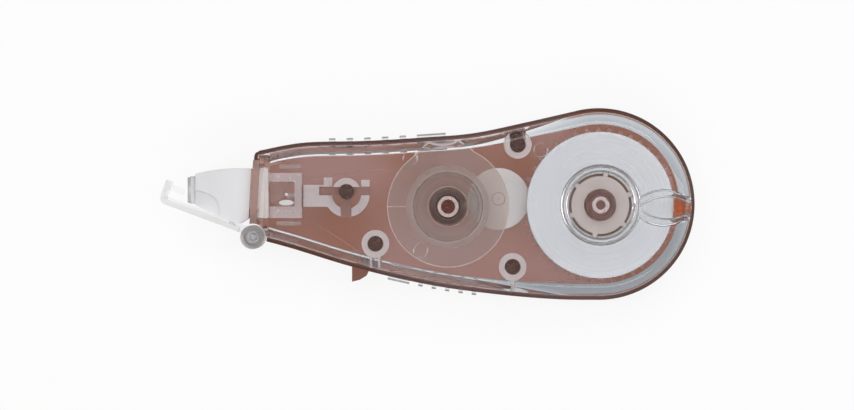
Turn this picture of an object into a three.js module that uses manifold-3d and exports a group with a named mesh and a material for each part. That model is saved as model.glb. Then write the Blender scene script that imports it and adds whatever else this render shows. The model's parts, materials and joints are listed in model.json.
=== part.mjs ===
// Correction tape dispenser with a clear front shell, a tinted back shell, two reels joined by gears,
// a swinging head and a hinged cap. Millimetres. The dispenser lies on its flat back: +Z is up through
// the clear front, +X points to the round tail and +Y to the upper edge in the front view.
// The drawing origin is the supply reel's axis at the back face.
import * as THREE from 'three'
import { mergeVertices } from 'three/addons/utils/BufferGeometryUtils.js'
import Module from 'manifold-3d'

const wasm = await Module()
wasm.setup()
const { Manifold, Mesh } = wasm

// Running fits and small clearances
const shaftClearance = 0.12
const axialGap = 0.3
const seatGap = 0.15
const tapeGap = 0.15

// Gear train: supply gear, idler and take-up gear
const gearModule = 0.7
const pressureAngle = THREE.MathUtils.degToRad(20)
const supplyTeeth = 42
const idlerTeeth = 15
const takeupTeeth = 14
const gearWidth = 1.8
const gearFloorGap = 0.5
const gearBacklash = 0.2
const addendum = 0.9
const dedendum = 1.2
const idlerDirection = THREE.MathUtils.degToRad(176.5)
const takeupDirection = THREE.MathUtils.degToRad(188.7)

// Tape and reels
const tapeWidth = 5
const ribbonThickness = 0.3
const packRadius = 14.4
const coreRadius = 6.9
const coreWall = 0.7
const flangeRadius = 12
const flangeThickness = 0.6
const windingDepth = 1.15
const supplyShaft = { outer: 3.07, inner: 2.25 }
const takeupShaft = { outer: 2.95, inner: 2.35 }
const idlerSpigot = 1.25
const hubWall = 1.1
const takeupHubWall = 0.8
const clutchDisc = { edgeGap: 0.5, thickness: 0.8, tab: 0.9, tabs: 6, firstTab: 20 }
const clutchRing = { drop: 1.1, wall: 1.7 }
const coreShelf = 1.4
const gearRecess = { rim: 1.2, depth: 0.8 }

// Axes of the reels and the idler, which the gears set
const pitchRadius = (teeth) => (teeth * gearModule) / 2
const polar = (from, distance, angle) => [
  from[0] + distance * Math.cos(angle),
  from[1] + distance * Math.sin(angle),
]
const supplyAxis = [0, 0]
const idlerAxis = polar(supplyAxis, pitchRadius(supplyTeeth + idlerTeeth), idlerDirection)
const takeupAxis = polar(idlerAxis, pitchRadius(idlerTeeth + takeupTeeth), takeupDirection)
const fromTakeup = (x) => takeupAxis[0] + x

// Case: a round tail about the supply reel, then edges that pass the take-up reel's flange
const caseThickness = 15
const shellWall = 1.2
const backRound = 1.6
const backFillet = 0.5
const frontRound = 2.8
const frontLedge = 0.9
const frontWall = 0.8
const seamHeight = 8
const seamGap = 0.15
const cutBeyond = 5
const tailRoom = 2.37
const tailCentre = [-0.2, 0.2]
const tailEnd = THREE.MathUtils.degToRad(105)
const topRises = [[14.95, 4.2], [4.95, 2.15], [-5.05, 1.3], [-16.05, 0.65], [-27.05, 0.4], [-33.05, -0.4]]
const bottomDrops = [[-30.95, -3.5], [-20.05, -0.15], [-10.05, 2.4], [-0.05, 4.35], [11.95, 5.85], [22, 6.6]]
const cornerRadius = 0.8

// Places ahead of the take-up axis: x from that axis, y from the supply axis
const places = {
  cornerTop: [-38.15, 10.5],
  cornerBottom: [-39.1, -6.3],
  capHinge: [-38.35, -6.3],
  yokePost: [-19.95, 2.6],
}
const distances = {
  tip: -51.35,
  flangeFront: -36.95,
  flangeBack: -35.15,
  pinTip: -31.75,
  windowBack: -30.15,
  cageBack: -28.75,
  tab: -16.05,
}
const placed = ([x, y]) => [fromTakeup(x), y]
const frontCornerTop = placed(places.cornerTop)
const frontCornerBottom = placed(places.cornerBottom)
const capHinge = placed(places.capHinge)
const tipX = fromTakeup(distances.tip)

// Posts that join the shells: a tinted pin in a clear socket
const pinRadius = 1.45
const socketRadius = 2.7
const socketDepth = 6.2
const upperPost = { room: 3, angle: 144 }
const lowerPosts = { rear: 12.66, front: -14.25, room: 3.1 }
const tailPost = { y: -0.6, radius: 0.6 }
const wallRise = 1.5
const upperRib = { front: 1.2, rear: 1.1, short: 0.6 }
const bossDepth = 3.5
const supplyBoss = { inner: 0.95, outer: 1.67 }
const takeupBoss = { inner: 1.4, outer: 2.07 }
const tab = { low: 1.8, reach: 2.2, back: 2.86, slope: 1.3, step: 0.4, heel: 1.1, root: 1.2 }

// Head: a hood over a blade that the tape runs round, and the channel for the tape behind it
const swingAxisY = 1.8
const tapeTipY = 2.95
const bladeThickness = 1
const bladeSpare = 0.2
const noseWall = 0.9
const tapeRoom = { side: 0.35, face: 0.45 }
const bladeGap = bladeThickness / 2 + seatGap + ribbonThickness / 2
const channel = { y: tapeWidth / 2 + tapeRoom.side, z: bladeGap + tapeRoom.face }
const neck = { y: channel.y + noseWall, z: channel.z + noseWall }
const noseBase = { low: -2.6, high: 7.2, gap: 0.3 }
const noseTop = [[-42.95, 7.2], [-45.85, 6.9], [-49.05, 6.3], [-50.95, 5.6]]
const noseTip = [[-51.25, 1.8], [-50.95, 0.4], [-49.65, -0.15]]
const noseUnder = [[-45.15, -2.07], [-42.15, -3.4], [-40.95, -3.9], [-40.35, -3.3]]
const noseDepths = [[-52, 1.45], [-49.65, 1.75], [-47.05, 2.3], [-44.05, 3.2], [-41.55, 3.75], [-38.05, 3.9]]
const thumbEdge = [[-48.95, 2.8], [-46.65, 2.2], [-44.75, 1.2], [-45, -1.2]]
const thumbDepth = 0.35
const noseFront = 1.6

// Mouth of the case, and the holder that carries the head in it
const mouth = {
  low: tapeTipY - neck.y - 1.1,
  high: tapeTipY + neck.y + 0.7,
  halfDepth: neck.z + 1.25,
}
const mouthWall = { thickness: 1.3, low: mouth.low - 2, high: mouth.high + 1.4 }
const flangeBar = {
  front: fromTakeup(distances.flangeFront),
  back: fromTakeup(distances.flangeBack),
  low: mouth.low - 0.66,
  high: mouth.high - 0.11,
  halfDepth: 5,
}
const cage = {
  back: fromTakeup(distances.cageBack),
  low: flangeBar.low,
  high: 6.3,
  plate: 1.2,
  inner: tapeWidth / 2 + 0.5,
}
const cageWindow = { back: fromTakeup(distances.windowBack), low: -0.3, high: 4.6 }
const stem = { high: 3.94, low: -0.34, halfDepth: 2.3 }
const tapeExit = 1.41
const twistLead = { run: 1, feedRise: 0.15, returnDrop: 0.1 }
const tapeEndGap = { head: 0.3, case: 0.1 }
const swingPin = { radius: 0.65, tip: fromTakeup(distances.pinTip), nose: 0.3, seat: 0.5 }
const yoke = {
  inner: socketRadius + seatGap,
  wall: 1.65,
  low: 0.5,
  halfDepth: 2,
  left: 5.4,
  right: 4.95,
}
const teeRib = { front: 5.3, rear: 4.4, below: 0.6, above: 0.95, legFront: 1.1, legRear: 0.85, drop: 5.1 }
const guide = { front: -33.25, lowerFront: -33.85, wall: 0.9, above: 0.75, below: 0.6, lip: 2.6 }

// Cap
const capAngle = THREE.MathUtils.degToRad(159.5)
const capBeyond = 5.92
const capHeight = 4.6
const capWall = 0.9
const capRoom = 1
const capRail = 1.5
const capStart = 3.2
const cheekStart = 1.2
const capCorner = 1.6
const cheekCorner = { along: 0.2, up: 1.2 }
const gusset = { from: 4.3, to: 5.3, depth: 0.5 }
const tongueRib = { from: 3.9, to: 0.3, low: 2.9, high: 4.1, half: 0.6 }
const knobRadius = 2.36
const ear = { depth: 1.6, proud: 0.8 }
const hingePin = 1.1
const hingeEyeWall = 0.7
const hingeWeb = { below: 0.3, above: 1.5, beyond: 1.2 }

// Grips and the raised ring and lens on the front
const topGrips = { first: -22.75, pitch: 3.47, length: 1.3, longAt: -3.25, long: 5.7 }
const bottomGrips = { first: -5.35, pitch: 2.62, length: 0.9, longAt: -9.65, long: 4.4 }
const gripCount = 5
const gripHeight = 0.6
const gripFoot = 0.8
const ringBead = { inside: 0.4, outside: 1, depth: 1.6 }
const lensBead = { from: 6.1, edge: 0.3, y: -0.55, half: 3.6, inset: 1.1, depth: 1.1 }

// Values worked out from the ones above
const midHeight = caseThickness / 2
const floorTop = shellWall
const coverBottom = caseThickness - shellWall
const gearLow = floorTop + gearFloorGap
const gearTop = gearLow + gearWidth
const windingRadius = coreRadius + seatGap + windingDepth
const tapeLow = midHeight - tapeWidth / 2
const tapeTop = midHeight + tapeWidth / 2
const gearReach = pitchRadius(supplyTeeth) + addendum * gearModule
const reelReach = Math.max(packRadius, gearReach)
const tailRadius = reelReach + tailRoom + shellWall
const noseHalfThickness = noseDepths[noseDepths.length - 1][1]
const capHalfWidth = noseHalfThickness + capRoom + capWall
const capReach = (capHinge[0] - tipX) / -Math.cos(capAngle) + capBeyond
const tailInside = tailCentre[0] + tailRadius - frontLedge - frontWall
const tailPostAt = [(reelReach + tailInside) / 2, tailPost.y]
const ahead = frontCornerBottom[0] - cutBeyond
const vectors = (points) => points.map(([x, y]) => new THREE.Vector2(x, y))

// Solids from three.js geometry

function solidOf(geometry) {
  const plain = geometry.clone()
  plain.deleteAttribute('normal')
  plain.deleteAttribute('uv')
  const merged = mergeVertices(plain, 1e-4)
  const index = merged.index.array
  const triangles = []
  for (let i = 0; i < index.length; i += 3) {
    const [a, b, c] = [index[i], index[i + 1], index[i + 2]]
    if (a !== b && b !== c && a !== c) triangles.push(a, b, c)
  }
  const vertProperties = new Float32Array(merged.attributes.position.array)
  const build = (triVerts) => {
    const mesh = new Mesh({ numProp: 3, vertProperties, triVerts: new Uint32Array(triVerts) })
    return new Manifold(mesh)
  }
  const solid = build(triangles)
  return solid.volume() > 0 ? solid : build(triangles.reverse())
}

function geometryOf(solid) {
  const mesh = solid.getMesh()
  const geometry = new THREE.BufferGeometry()
  geometry.setAttribute('position', new THREE.BufferAttribute(new Float32Array(mesh.vertProperties), 3))
  geometry.setIndex(new THREE.BufferAttribute(new Uint32Array(mesh.triVerts), 1))
  geometry.computeVertexNormals()
  return geometry
}

function joined(solids) {
  return solids.reduce((whole, next) => whole.add(next))
}

function box(x0, x1, y0, y1, z0, z1) {
  const geometry = new THREE.BoxGeometry(x1 - x0, y1 - y0, z1 - z0)
  geometry.translate((x0 + x1) / 2, (y0 + y1) / 2, (z0 + z1) / 2)
  return solidOf(geometry)
}

function extruded(shape, z0, z1) {
  const geometry = new THREE.ExtrudeGeometry(shape, { depth: z1 - z0, bevelEnabled: false, curveSegments: 8 })
  geometry.translate(0, 0, z0)
  return solidOf(geometry)
}

function polygon(points) {
  return new THREE.Shape(vectors(points))
}

function turned(profile, segments = 32) {
  const geometry = new THREE.LatheGeometry(vectors(profile), segments)
  geometry.rotateX(Math.PI / 2)
  return solidOf(geometry)
}

function disc(at, radius, z0, z1, segments = 32) {
  return turned([[0, z0], [radius, z0], [radius, z1], [0, z1]], segments).translate([...at, 0])
}

function tube(at, inner, outer, z0, z1, segments = 32) {
  const profile = [[inner, z0], [outer, z0], [outer, z1], [inner, z1], [inner, z0]]
  return turned(profile, segments).translate([...at, 0])
}

// Case outline, straight beside its two front corners so that it can be inset there

function caseOutline() {
  const shape = new THREE.Shape()
  const [cx, cy] = tailCentre
  const bottomEdge = bottomDrops.map(([x, drop]) => [fromTakeup(x), -flangeRadius - drop])
  const topEdge = topRises.map(([x, rise]) => [fromTakeup(x), flangeRadius + rise])
  shape.moveTo(...frontCornerBottom)
  shape.splineThru(vectors([...bottomEdge, [cx, cy - tailRadius]]))
  shape.absarc(cx, cy, tailRadius, -Math.PI / 2, tailEnd, false)
  shape.splineThru(vectors([...topEdge, frontCornerTop]))
  shape.closePath()
  return shape
}

function outlinePoints() {
  const stepsOf = (curve) => (curve.isSplineCurve ? curve.points.length * 2 : curve.isEllipseCurve ? 26 : 1)
  const points = []
  for (const curve of caseOutline().curves) {
    for (const point of curve.getPoints(stepsOf(curve))) {
      const last = points[points.length - 1]
      if (!last || last.distanceTo(point) > 0.05) points.push(point)
    }
  }
  if (points[0].distanceTo(points[points.length - 1]) < 0.05) points.pop()
  const corners = [frontCornerTop, frontCornerBottom].map((corner) => new THREE.Vector2(...corner))
  const straight = frontRound + frontLedge + shellWall
  const clearOf = (corner, point) => point.distanceTo(corner) < 0.05 || point.distanceTo(corner) > straight
  return points.filter((point) => corners.every((corner) => clearOf(corner, point)))
}

const outline = outlinePoints()

// The whole case as a pebble with rounded faces, inset from the outline
function pebble(round, inset, z0, z1) {
  const geometry = new THREE.ExtrudeGeometry(new THREE.Shape(outline), {
    depth: z1 - z0 - 2 * round,
    bevelEnabled: true,
    bevelThickness: round,
    bevelSize: round,
    bevelOffset: -round - inset,
    bevelSegments: 3,
  })
  geometry.translate(0, 0, z0 + round)
  return solidOf(geometry)
}

// Height of the outline at x on the upper or lower edge, with its slope
function edgeAt(x, upper) {
  const hits = outline.map((a, i) => [a, outline[(i + 1) % outline.length]])
    .filter(([a, b]) => (a.x - x) * (b.x - x) <= 0 && a.x !== b.x)
    .map(([a, b]) => {
      const slope = (b.y - a.y) / (b.x - a.x)
      return { y: a.y + slope * (x - a.x), angle: Math.atan(slope) }
    })
  return hits.reduce((best, hit) => ((hit.y > best.y) === upper ? hit : best))
}

// The lower posts stand a fixed room from the case's lower edge, beside which the tape passes
function lowerPost(x) {
  const at = fromTakeup(x)
  return [at, edgeAt(at, false).y + lowerPosts.room + socketRadius]
}

const upperReach = packRadius + upperPost.room + socketRadius
const posts = {
  upper: polar(supplyAxis, upperReach, THREE.MathUtils.degToRad(upperPost.angle)),
  lowerRear: lowerPost(lowerPosts.rear),
  lowerFront: lowerPost(lowerPosts.front),
  yoke: placed(places.yokePost),
}

function halfSpace(z0, z1) {
  const reach = tailRadius + 2 * cutBeyond
  return box(tipX - reach, reach, -reach, reach, z0, z1)
}

// Gears

function gearShape(teeth, phase) {
  const pitch = pitchRadius(teeth)
  const base = pitch * Math.cos(pressureAngle)
  const root = pitch - dedendum * gearModule
  const tip = pitch + addendum * gearModule
  const involute = (angle) => Math.tan(angle) - angle
  const halfTooth = Math.PI / (2 * teeth) - gearBacklash / (4 * pitch)
  const halfAngle = (radius) => {
    const pressure = Math.acos(Math.min(1, base / radius))
    return halfTooth + involute(pressureAngle) - involute(pressure)
  }
  const start = Math.max(base, root)
  const flank = [start, pitch, tip]
  const points = []
  for (let i = 0; i < teeth; i += 1) {
    const centre = phase + (i * 2 * Math.PI) / teeth
    const at = (radius, angle) => points.push(new THREE.Vector2(...polar([0, 0], radius, centre + angle)))
    if (root < start - 0.05) at(root, -halfAngle(start) * 1.05)
    flank.forEach((radius) => at(radius, -halfAngle(radius)))
    flank.toReversed().forEach((radius) => at(radius, halfAngle(radius)))
    if (root < start - 0.05) at(root, halfAngle(start) * 1.05)
  }
  return new THREE.Shape(points)
}

const supplyPhase = idlerDirection
const idlerPhase = idlerDirection + Math.PI + Math.PI / idlerTeeth
const idlerPitchAngle = (2 * Math.PI) / idlerTeeth
const idlerLead = THREE.MathUtils.euclideanModulo(idlerPhase - takeupDirection, idlerPitchAngle)
const takeupPhase = takeupDirection + Math.PI + Math.PI / takeupTeeth - (idlerLead * idlerTeeth) / takeupTeeth

// Tape runs

// Points and directions of a band that runs from guide to guide; turn is 1 anticlockwise, -1 clockwise
function bandPath(guides) {
  const path = []
  const heading = (a, b) => {
    const [dx, dy] = [b.at[0] - a.at[0], b.at[1] - a.at[1]]
    const offset = b.turn * b.radius - a.turn * a.radius
    const length = Math.sqrt(dx * dx + dy * dy - offset * offset)
    return Math.atan2(dy, dx) - Math.atan2(offset, length)
  }
  const add = (guide, angle) => {
    const side = [-Math.sin(angle), Math.cos(angle)]
    const reach = guide.turn * guide.radius
    path.push({ x: guide.at[0] - side[0] * reach, y: guide.at[1] - side[1] * reach, angle })
  }
  for (let i = 0; i < guides.length; i += 1) {
    const into = i > 0 ? heading(guides[i - 1], guides[i]) : null
    const out = i < guides.length - 1 ? heading(guides[i], guides[i + 1]) : null
    if (into === null || out === null || guides[i].radius === 0) {
      add(guides[i], into ?? out)
      continue
    }
    const sweep = Math.atan2(Math.sin(out - into), Math.cos(out - into))
    const steps = Math.max(1, Math.ceil(Math.abs(sweep) / 0.2))
    for (let k = 0; k <= steps; k += 1) add(guides[i], into + (sweep * k) / steps)
  }
  return path
}

// A flat ribbon through stations, each with a centre, a width direction and a face direction
function ribbon(stations, thickness = ribbonThickness, width = tapeWidth) {
  const positions = []
  const index = []
  stations.forEach(({ centre, across, face }) => {
    for (const [u, v] of [[-1, -1], [1, -1], [1, 1], [-1, 1]]) {
      const corner = centre.clone()
        .addScaledVector(across, (u * width) / 2)
        .addScaledVector(face, (v * thickness) / 2)
      positions.push(corner.x, corner.y, corner.z)
    }
  })
  const quad = (a, b, c, d) => index.push(a, b, c, a, c, d)
  for (let i = 0; i < stations.length - 1; i += 1) {
    for (let k = 0; k < 4; k += 1) {
      const next = (k + 1) % 4
      quad(4 * i + k, 4 * i + next, 4 * i + 4 + next, 4 * i + 4 + k)
    }
  }
  const end = 4 * (stations.length - 1)
  quad(3, 2, 1, 0)
  quad(end, end + 1, end + 2, end + 3)
  const geometry = new THREE.BufferGeometry()
  geometry.setAttribute('position', new THREE.BufferAttribute(new Float32Array(positions), 3))
  geometry.setIndex(index)
  return solidOf(geometry)
}

function flatStation({ x, y, angle }) {
  return {
    centre: new THREE.Vector3(x, y, midHeight),
    across: new THREE.Vector3(0, 0, -1),
    face: new THREE.Vector3(-Math.sin(angle), Math.cos(angle), 0),
  }
}

// Quarter twist from a ribbon on edge in the case to one lying flat in the head
function twistStations(from, to, faceSign) {
  const steps = 8
  const stations = []
  for (let i = 1; i <= steps; i += 1) {
    const t = i / steps
    const ease = t * t * (3 - 2 * t)
    const turn = (ease * Math.PI) / 2
    stations.push({
      centre: new THREE.Vector3().lerpVectors(from, to, ease).setX(THREE.MathUtils.lerp(from.x, to.x, t)),
      across: new THREE.Vector3(0, Math.sin(turn), -Math.cos(turn)),
      face: new THREE.Vector3(0, Math.cos(turn) * faceSign, Math.sin(turn) * faceSign),
    })
  }
  return stations
}

const headTapeEnd = flangeBar.back - tapeEndGap.head
const caseTapeEnd = flangeBar.back + tapeEndGap.case
const feedExit = [cage.back, stem.low - tapeExit]
const returnExit = [cage.back, stem.high + tapeExit]

function tapeFeedRun() {
  const half = ribbonThickness / 2
  const guides = [
    { at: supplyAxis, radius: packRadius + tapeGap + half, turn: -1 },
    { at: posts.lowerRear, radius: socketRadius + tapeGap + half, turn: -1 },
    { at: posts.lowerFront, radius: socketRadius + tapeGap + half, turn: -1 },
    { at: feedExit, radius: 0, turn: 1 },
  ]
  const path = bandPath(guides)
  const { run, feedRise } = twistLead
  const corner = new THREE.Vector3(feedExit[0] - run, feedExit[1] + feedRise, midHeight)
  const stations = path.map(flatStation)
  const head = new THREE.Vector3(caseTapeEnd, tapeTipY, midHeight - bladeGap)
  stations[stations.length - 1].face = new THREE.Vector3(-0.2, -1, 0).normalize().negate()
  stations.push({ centre: corner, across: new THREE.Vector3(0, 0, -1), face: new THREE.Vector3(0, -1, 0) })
  stations.slice(0, -1).forEach((station) => station.face.y > 0 && station.face.negate())
  return ribbon([...stations, ...twistStations(corner, head, -1)])
}

function tapeReturnRun() {
  const half = ribbonThickness / 2
  const guides = [
    { at: returnExit, radius: 0, turn: 1 },
    { at: takeupAxis, radius: windingRadius + tapeGap + half, turn: -1 },
  ]
  const path = bandPath(guides)
  const { run, returnDrop } = twistLead
  const corner = new THREE.Vector3(returnExit[0] - run, returnExit[1] - returnDrop, midHeight)
  const head = new THREE.Vector3(caseTapeEnd, tapeTipY, midHeight + bladeGap)
  const stations = path.map(flatStation)
  const twist = twistStations(corner, head, 1).reverse()
  stations.forEach((station) => station.face.y < 0 && station.face.negate())
  return ribbon([
    ...twist,
    { centre: corner, across: new THREE.Vector3(0, 0, -1), face: new THREE.Vector3(0, 1, 0) },
    ...stations,
  ])
}

function tapeTipLoop() {
  const bend = bladeGap
  const centreX = tipX + ribbonThickness / 2 + bend
  const across = new THREE.Vector3(0, 1, 0)
  const at = (x, z, fx, fz) => ({
    centre: new THREE.Vector3(x, tapeTipY, midHeight + z),
    across,
    face: new THREE.Vector3(fx, 0, fz),
  })
  const stations = [at(headTapeEnd, -bend, 0, -1)]
  for (let k = 0; k <= 8; k += 1) {
    const angle = -Math.PI / 2 - (k * Math.PI) / 8
    const [along, up] = [Math.cos(angle), Math.sin(angle)]
    stations.push(at(centreX + bend * along, bend * up, along, up))
  }
  stations.push(at(headTapeEnd, bend, 0, 1))
  return ribbon(stations)
}

// Shells

function mouthWallSolid() {
  const [[topX, topY], [bottomX, bottomY]] = [frontCornerTop, frontCornerBottom]
  const lean = (y) => THREE.MathUtils.mapLinear(y, bottomY, topY, bottomX, topX)
  const { thickness, low, high } = mouthWall
  const wall = polygon([
    [lean(low), low],
    [lean(low) + thickness, low],
    [lean(high) + thickness, high],
    [lean(high), high],
  ])
  return extruded(wall, 0, coverBottom - seatGap)
}

function mouthOpening() {
  const { low, high, halfDepth } = mouth
  return box(ahead, flangeBar.front, low, high, midHeight - halfDepth, midHeight + halfDepth)
}

function cornerTrim() {
  const shape = new THREE.Shape()
  const [topX, topY] = frontCornerTop
  shape.moveTo(topX - 3, topY + 3)
  shape.lineTo(topX - 3, topY - cornerRadius)
  shape.lineTo(topX, topY - cornerRadius)
  shape.absarc(topX + cornerRadius, topY - cornerRadius, cornerRadius, Math.PI, Math.PI / 2, true)
  shape.lineTo(topX + cornerRadius, topY + 3)
  return extruded(shape, -1, caseThickness + 1)
}

function hingeBite() {
  return disc(capHinge, knobRadius + axialGap, -1, caseThickness + 1)
}

function shaft(at, sizes) {
  return tube(at, sizes.inner, sizes.outer, floorTop / 2, coverBottom - axialGap)
}

function post(at) {
  return disc(at, pinRadius, floorTop / 2, coverBottom - axialGap, 16)
}

// Tee-shaped rib on the yoke's post, grown by the room that the yoke leaves round it
function yokeRib(low, room) {
  const [x, y] = posts.yoke
  const { front, rear, below, above, legFront, legRear, drop } = teeRib
  return joined([
    box(x - front - room, x + rear + room, y - below - room, y + above + room, low, midHeight + room),
    box(x - legFront - room, x + legRear + room, y - drop - room, y, low, midHeight + room),
  ])
}

function guideWalls() {
  const top = tapeTop + wallRise
  const rise = cage.high + guide.above
  const drop = cage.low - guide.below
  const front = fromTakeup(guide.front)
  return joined([
    box(front, cage.back, rise, rise + guide.wall, floorTop / 2, top),
    box(front, front + guide.wall, rise, rise + guide.lip, floorTop / 2, top),
    box(fromTakeup(guide.lowerFront), cage.back, drop - guide.wall, drop, floorTop / 2, top),
  ])
}

function upperPostRib() {
  const [x, y] = posts.upper
  const edge = edgeAt(x, true).y - upperRib.short
  const top = coverBottom - socketDepth - axialGap
  return box(x - upperRib.front, x + upperRib.rear, y, edge, floorTop / 2, top)
}

function capRest() {
  const { low, reach, back, slope, step, heel, root } = tab
  const at = fromTakeup(distances.tab)
  const edge = edgeAt(at, false).y
  const points = [
    [at - back, edge + root],
    [at - back, edge - reach],
    [at - slope, edge - reach + step],
    [at, edge - reach + root],
    [at + heel, edge + root],
  ]
  return extruded(polygon(points), low, seamHeight)
}

function backShell() {
  const outer = pebble(backRound, 0, 0, caseThickness).intersect(halfSpace(-1, seamHeight))
  const hollow = pebble(backFillet, shellWall, floorTop, caseThickness + cutBeyond)
  const fittings = joined([
    mouthWallSolid(),
    shaft(supplyAxis, supplyShaft),
    shaft(takeupAxis, takeupShaft),
    disc(idlerAxis, idlerSpigot, floorTop / 2, gearTop, 24),
    ...Object.values(posts).map(post),
    disc(tailPostAt, tailPost.radius, floorTop / 2, tapeTop + wallRise, 16),
    yokeRib(floorTop / 2, 0),
    guideWalls(),
    upperPostRib(),
    capRest(),
  ])
  return outer.subtract(hollow).add(fittings).subtract(joined([mouthOpening(), cornerTrim(), hingeBite()]))
}

function socket(at) {
  const bore = pinRadius + shaftClearance
  return tube(at, bore, socketRadius, coverBottom - socketDepth, coverBottom + shellWall / 2, 20)
}

function boss(at, { inner, outer }) {
  return tube(at, inner, outer, coverBottom - bossDepth, coverBottom + shellWall / 2, 20)
}

function lensShape(grow) {
  const { from, edge, y, half } = lensBead
  const [left, right] = [from - grow * 2.2, tailCentre[0] + tailRadius - edge + grow * 0.4]
  const shape = new THREE.Shape()
  shape.moveTo(left, y)
  shape.quadraticCurveTo((left + right) / 2, y - (half + grow) * 1.05, right, y)
  shape.quadraticCurveTo((left + right) / 2, y + (half + grow) * 1.05, left, y)
  return shape
}

function frontBeads() {
  const top = coverBottom + shellWall / 2
  const [inner, outer] = [coreRadius - ringBead.inside, coreRadius + ringBead.outside]
  const ring = tube(supplyAxis, inner, outer, coverBottom - ringBead.depth, top, 36)
  const lens = extruded(lensShape(lensBead.inset), coverBottom - lensBead.depth, top)
    .subtract(extruded(lensShape(0), coverBottom - lensBead.depth - 1, coverBottom))
  const inset = frontLedge + frontWall / 2
  const inside = pebble(frontRound - frontWall / 2, inset, -cutBeyond, caseThickness - shellWall / 2)
  return ring.add(lens.intersect(inside))
}

function grip(x, length, upper) {
  const { y, angle } = edgeAt(x, upper)
  const height = [seamHeight + gripFoot, caseThickness - frontRound]
  const block = box(-length / 2, length / 2, -frontLedge - frontWall / 2, gripHeight, ...height)
  const turn = (angle * 180) / Math.PI + (upper ? 0 : 180)
  return block.rotate([0, 0, turn]).translate([x, y, 0])
}

function grips() {
  const row = ({ first, pitch, length, longAt, long }, upper) => {
    const blocks = [grip(fromTakeup(longAt), long, upper)]
    for (let i = 0; i < gripCount; i += 1) blocks.push(grip(fromTakeup(first + i * pitch), length, upper))
    return blocks
  }
  return joined([...row(topGrips, true), ...row(bottomGrips, false)])
}

function hingeLug() {
  const [x, y] = capHinge
  const low = seamHeight + seamGap
  const high = midHeight + capHalfWidth - ear.depth - axialGap
  const pinHalf = capHalfWidth - axialGap
  return joined([
    disc(capHinge, hingePin + hingeEyeWall, low, high, 24),
    box(x, x + knobRadius + hingeWeb.beyond, y - hingeWeb.below, y + hingeWeb.above, low, high),
    disc(capHinge, hingePin, midHeight - pinHalf, midHeight + pinHalf, 24),
  ])
}

function frontShell() {
  const aboveSeam = halfSpace(seamHeight + seamGap, caseThickness + 1)
  const outer = pebble(frontRound, frontLedge, 0, caseThickness).intersect(aboveSeam)
  const hollow = pebble(frontRound - shellWall, frontLedge + frontWall, -cutBeyond, coverBottom)
  const fittings = joined([
    ...Object.values(posts).map(socket),
    boss(supplyAxis, supplyBoss),
    boss(takeupAxis, takeupBoss),
    frontBeads(),
    grips(),
  ])
  const [low, high] = [mouthWall.low - axialGap, mouthWall.high + axialGap]
  const mouthRoom = box(ahead, flangeBar.back + axialGap, low, high, 0, coverBottom)
  return outer.subtract(hollow).add(fittings)
    .subtract(joined([mouthRoom, cornerTrim(), hingeBite()]))
    .add(hingeLug())
}

// Reels and gears

function supplyGear() {
  const bore = supplyShaft.outer + shaftClearance
  const root = pitchRadius(supplyTeeth) - dedendum * gearModule
  const teeth = extruded(gearShape(supplyTeeth, supplyPhase), gearLow, gearTop)
  const { rim, depth } = gearRecess
  const recess = tube(supplyAxis, bore + hubWall, root - rim, gearTop - depth, gearTop + 1, 32)
  const hub = disc(supplyAxis, bore + hubWall, gearLow, tapeTop - clutchRing.drop, 32)
  return teeth.subtract(recess).add(hub).subtract(disc(supplyAxis, bore, -1, caseThickness))
}

function supplyCore() {
  const hub = supplyShaft.outer + shaftClearance + hubWall
  const [low, top] = [gearTop + axialGap, tapeTop + axialGap]
  const drum = tube(supplyAxis, coreRadius - coreWall, coreRadius, low, top, 40)
  const shelf = tube(supplyAxis, hub + shaftClearance, coreRadius - coreWall / 2, low, low + coreShelf, 40)
  const notches = []
  for (let i = 0; i < clutchDisc.tabs; i += 1) {
    const half = clutchDisc.tab / 2 + seatGap
    const notch = box(0, coreRadius + 1, -half, half, top - clutchDisc.thickness - seatGap, top + 1)
    notches.push(notch.rotate([0, 0, (i * 360) / clutchDisc.tabs + clutchDisc.firstTab]))
  }
  const hubRoom = disc(supplyAxis, hub + seatGap, 0, caseThickness)
  return drum.add(shelf).subtract(joined(notches).subtract(hubRoom))
}

function clutchDiscSolid() {
  const top = tapeTop + axialGap
  const low = top - clutchDisc.thickness
  const plate = disc(supplyAxis, coreRadius - coreWall - clutchDisc.edgeGap, low, top, 40)
  const tabs = []
  for (let i = 0; i < clutchDisc.tabs; i += 1) {
    const half = clutchDisc.tab / 2
    const finger = box(0, coreRadius - seatGap, -half, half, low, top)
    tabs.push(finger.rotate([0, 0, (i * 360) / clutchDisc.tabs + clutchDisc.firstTab]))
  }
  const bore = disc(supplyAxis, supplyShaft.outer + shaftClearance, 0, caseThickness)
  return plate.add(joined(tabs)).subtract(bore)
}

function clutchRingSolid() {
  const inner = supplyShaft.outer + shaftClearance
  const low = tapeTop - clutchRing.drop + seatGap
  const top = tapeTop + axialGap - clutchDisc.thickness - seatGap
  return tube(supplyAxis, inner, inner + clutchRing.wall, low, top)
}

function tapePack() {
  return tube(supplyAxis, coreRadius + seatGap, packRadius, tapeLow, tapeTop, 60)
}

function idlerGear() {
  const teeth = extruded(gearShape(idlerTeeth, idlerPhase), gearLow, gearTop)
  return teeth.translate([...idlerAxis, 0])
    .subtract(disc(idlerAxis, idlerSpigot + shaftClearance, -1, caseThickness, 24))
}

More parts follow.
